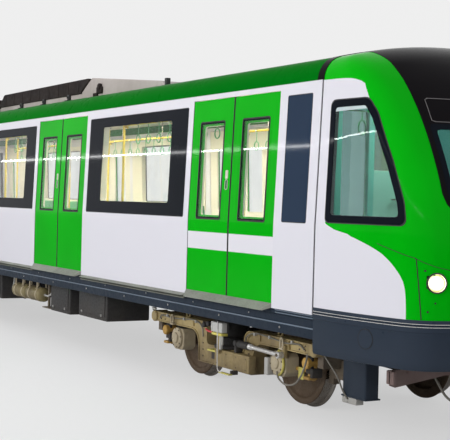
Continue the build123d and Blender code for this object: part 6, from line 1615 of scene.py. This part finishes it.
def bumper_line(z, half, lift):
    """Thin painted highlight along the bumper's lip: the form's level line, carried through a small profile.
    """
    profile = np.array([(z - half, lift - 0.004), (z - half, lift), (z + half, lift),
              (z + half, lift - 0.004)])
    steps = 161
    x, y, level = form_level(np.linspace(-pi / 2 + 0.01, pi / 2 - 0.01, steps), profile[:, 0])
    p = off_line(x, y, level, 0 * level + profile[:, 1])
    last = (steps - 1) * 4
    return p.reshape(-1, 3), quads(steps, 4, wrap_v=True) + [[0, 1, 2, 3], list(range(last, last + 4))]


# Pale silver lines on the bumper's two lips: painted highlights
edge_lines = [bumper_line(1.0295, 0.0022, 0.0052), bumper_line(1.0065, 0.0022, 0.0062)]
piece("bumper_edge_lines", edge_lines, silver_rod)

# Grab poles, rails along the windows and hanging grips
POLE_R, RAIL_R, RAIL_Z, POLE_TOP = 0.0165, 0.0155, 2.9, 3.149
POLES = [(d + h * 0.905, y) for d in DOORS for h in SIDES for y in (-0.9, 0.9)
         if d + h * 0.905 < PARTITION - 0.02]
socket = [(POLE_R, 0.0), (0.038, 0.0), (0.04, 0.004), (0.036, 0.012), (0.02, 0.026), (POLE_R, 0.028)]
stop = [(RAIL_R, -0.015), (0.021, -0.013), (0.021, 0.013), (RAIL_R, 0.015)]
rails, clips, hangers = [], [], []
for x, y in POLES:
    rails.append(rod((x, y, 1.062), (x, y, POLE_TOP), POLE_R, 20, 0.05))
    clips += [lathe(socket, (x, y, z), (0, 0, up), 24) for z, up in ((FLOOR_TOP, 1), (POLE_TOP, -1))]
for s in SIDES:
    for middle, _ in BIG_WINDOWS:
        lo, hi, y = middle - 1.26, middle + 1.26, s * 0.9
        near = y * 0.96
        path = [(lo, y, 2.86), (lo + 0.06, near, RAIL_Z), (hi - 0.06, near, RAIL_Z), (hi, y, 2.86)]
        rails.append(tube(smooth_path(path, 10), RAIL_R, 16))
        for k in range(8):
            x = lo + 0.25 + k * (hi - lo - 0.5) / 7
            if k in (1, 6):
                clips.append(rod((x, near, RAIL_Z), (x, near, POLE_TOP), 0.009, 12))
            else:
                clips.append(lathe(stop, (x, near, RAIL_Z), (1, 0, 0), 16))
            strap = [(x - 0.009, 2.888), (x + 0.009, 2.888), (x + 0.009, 2.76), (x - 0.009, 2.76)]
            hangers.append(prism(strap, side_place(1), near - 0.002, near + 0.002, 0.0008))
            a = np.linspace(0, 2 * pi, 28, endpoint=False)
            grip = np.stack([x + 0.055 * np.sin(a), np.full(28, near), 2.705 + 0.055 * np.cos(a)], 1)
            hangers.append(tube(np.concatenate([grip, grip[:1]]), 0.007, 8, (0, 1, 0)))
piece("saloon_grab_rails", rails, pole_yellow, replaces=("grab_poles",))
piece("grab_rail_sockets", clips, steel)
piece("hanging_grips", hangers, grip_green)

# Stage, lights and camera
FLOOR_HALF, PAPER = 120, (0.86, 0.86, 0.86, 1.0)
PHOTO_WIDTH, FOCAL_PIXELS, SENSOR = 450, 1164.7, 36
YAW, PITCH, ROLL = radians(60.31), radians(-0.96), radians(1.46)
CAMERA_PLACE = (8.41, -7.12, 1.97)


def pale_floor():
    """Pale matt floor: seen straight it is mostly paper white, and it keeps the car's shadow."""
    m = bpy.data.materials.new("pale_floor")
    m.use_nodes = True
    g = Graph(m.node_tree)
    shader = m.node_tree.nodes["Principled BSDF"]
    v = g.node("ShaderNodeTexCoord").outputs["Object"]
    seen = g.node("ShaderNodeLightPath").outputs["Is Camera Ray"]
    grey = g.mix(g.noise(v, 0.6, 3.0), colour4((0.62, 0.62, 0.62)), colour4((0.66, 0.66, 0.65)))
    g.put(shader.inputs["Base Color"], g.mix(seen, grey, colour4((0.8, 0.8, 0.8))))
    shader.inputs["Roughness"].default_value = 0.9
    shader.inputs["Specular IOR Level"].default_value = 0.1
    pale = g.node("ShaderNodeEmission", Color=PAPER, Strength=1.0)
    both = g.join("ShaderNodeMixShader", g.math("MULTIPLY", seen, 0.62), shader.outputs[0], pale.outputs[0])
    g.put(m.node_tree.nodes["Material Output"].inputs[0], both.outputs[0])
    h = FLOOR_HALF
    mesh = bpy.data.meshes.new("floor")
    mesh.from_pydata([(-h, -h, 0), (h, -h, 0), (h, h, 0), (-h, h, 0)], [], [(0, 1, 2, 3)])
    mesh.materials.append(m)
    ground = bpy.data.objects.new("floor", mesh)
    bpy.context.scene.collection.objects.link(ground)


def studio_world():
    """Soft grey dome for the light, and paper white for what is seen, mirrored or looked through."""
    world = bpy.data.worlds.new("studio")
    bpy.context.scene.world = world
    world.use_nodes = True
    world.node_tree.nodes.clear()
    g = Graph(world.node_tree)
    path = g.node("ShaderNodeLightPath").outputs
    rise = g.apart(g.node("ShaderNodeTexCoord").outputs["Generated"])[2]
    dome = g.mix(g.ramp(rise, 0.05, 0.7), colour4((0.2, 0.205, 0.22)), colour4((0.4, 0.41, 0.44)))
    soft = g.node("ShaderNodeBackground", Color=dome, Strength=1.0)
    white = g.node("ShaderNodeBackground", Color=PAPER, Strength=1.0)
    shown = g.math("MAXIMUM", path["Is Camera Ray"], path["Is Transmission Ray"])
    shown = g.math("MAXIMUM", shown, path["Is Glossy Ray"])
    mixer = g.join("ShaderNodeMixShader", shown, soft.outputs[0], white.outputs[0])
    g.join("ShaderNodeOutputWorld", mixer.outputs[0])


def softbox(name, place, target, size, power, colour=(1, 1, 1), mirrored=False):
    """Rectangular lamp at a place, turned to its target; only a mirrored one shows in the paint."""
    light = bpy.data.lights.new(name, "AREA")
    light.shape, light.energy, light.color = "RECTANGLE", power, colour
    light.size, light.size_y = size
    lamp = bpy.data.objects.new(name, light)
    lamp.location = place
    lamp.rotation_euler = (Vector(target) - Vector(place)).to_track_quat("-Z", "Y").to_euler()
    lamp.visible_camera, lamp.visible_glossy = False, mirrored
    bpy.context.scene.collection.objects.link(lamp)


def photo_camera():
    """Camera of the photo: looks along yaw and pitch, turned by its roll about that line."""
    forward = Vector((-sin(YAW) * cos(PITCH), cos(YAW) * cos(PITCH), sin(PITCH)))
    right = forward.cross(Vector((0, 0, 1))).normalized()
    up = right.cross(forward)
    across, upright = cos(ROLL) * right + sin(ROLL) * up, cos(ROLL) * up - sin(ROLL) * right
    data = bpy.data.cameras.new("photo_view")
    data.sensor_width, data.clip_end = SENSOR, 400
    data.lens = FOCAL_PIXELS / PHOTO_WIDTH * SENSOR
    camera = bpy.data.objects.new("photo_view", data)
    view = Matrix((across, upright, -forward)).transposed().to_4x4()
    view.translation = Vector(CAMERA_PLACE) + Vector(SHIFT)
    camera.matrix_world = view
    bpy.context.scene.collection.objects.link(camera)
    bpy.context.scene.camera = camera


pale_floor()
studio_world()
softbox("overhead_softbox", (2, -4, 10), (1, -1, 0), (26, 9), 480)
softbox("side_softbox", (4, -16, 4.5), (1, 0, 1.5), (24, 6), 1640, (1.0, 0.99, 0.98))
softbox("far_side_softbox", (0, 16, 6), (0, 0, 1.5), (24, 6), 900)
softbox("front_softbox", (24, -2, 5), (8, 0, 1.5), (8, 6), 330)
softbox("cab_light", SHIFT + (0.35, -0.1, 3.0), SHIFT + (-0.6, -0.3, 1.6), (0.5, 0.5), 9, (0.92, 1.0, 0.97))
softbox("strip_light", (2, -6.2, 3.3), (2, 0, 2.3), (34, 0.028), 90, mirrored=True)
photo_camera()

# Finishes of the carried-over CAD pieces
FINISHES = ((paint_white, ("side_wall_right", "side_wall_left")),
          (paint_door, ("doors_right", "doors_left")),
          (frit_black, ("window_glass_right", "window_glass_left")), (paint_roof, ("roof_shell",)),
          (lining, ("ceiling",)), (dark_paint, ("rear_end_wall", "sole_bars", "deflectors")),
          (bellows_cloth, ("gangway",)), (rubber, ("cab_seam_seal", "front_springs", "rear_springs")),
          (under_dark, ("underframe", "bolsters", "equipment_boxes")), (step_metal, ("step_plates",)),
          (cast_dirty, ("coupler_mount", "rear_drawbar", "coupler", "front_axle_boxes", "rear_axle_boxes",
          "front_drives", "rear_drives", "front_brakes", "rear_brakes")),
          (cream, ("air_tanks", "front_bogie_frame", "rear_bogie_frame")),
          (steel, ("front_dampers", "rear_dampers")), (grey_unit, ("hvac_units",)),
          (teal, ("cab_partition",)), (desk_grey, ("cab_desk",)), (seat_green, ("seats",)),
          (pole_yellow, ("grab_poles",)), (wheel_paint, tuple(f"wheelset_{i}" for i in range(1, 5))))
for finish, names in FINISHES:
    for name in names:
        nodes[name].data.materials.clear()
        nodes[name].data.materials.append(finish)

bpy.context.scene.view_settings.view_transform = "Standard"
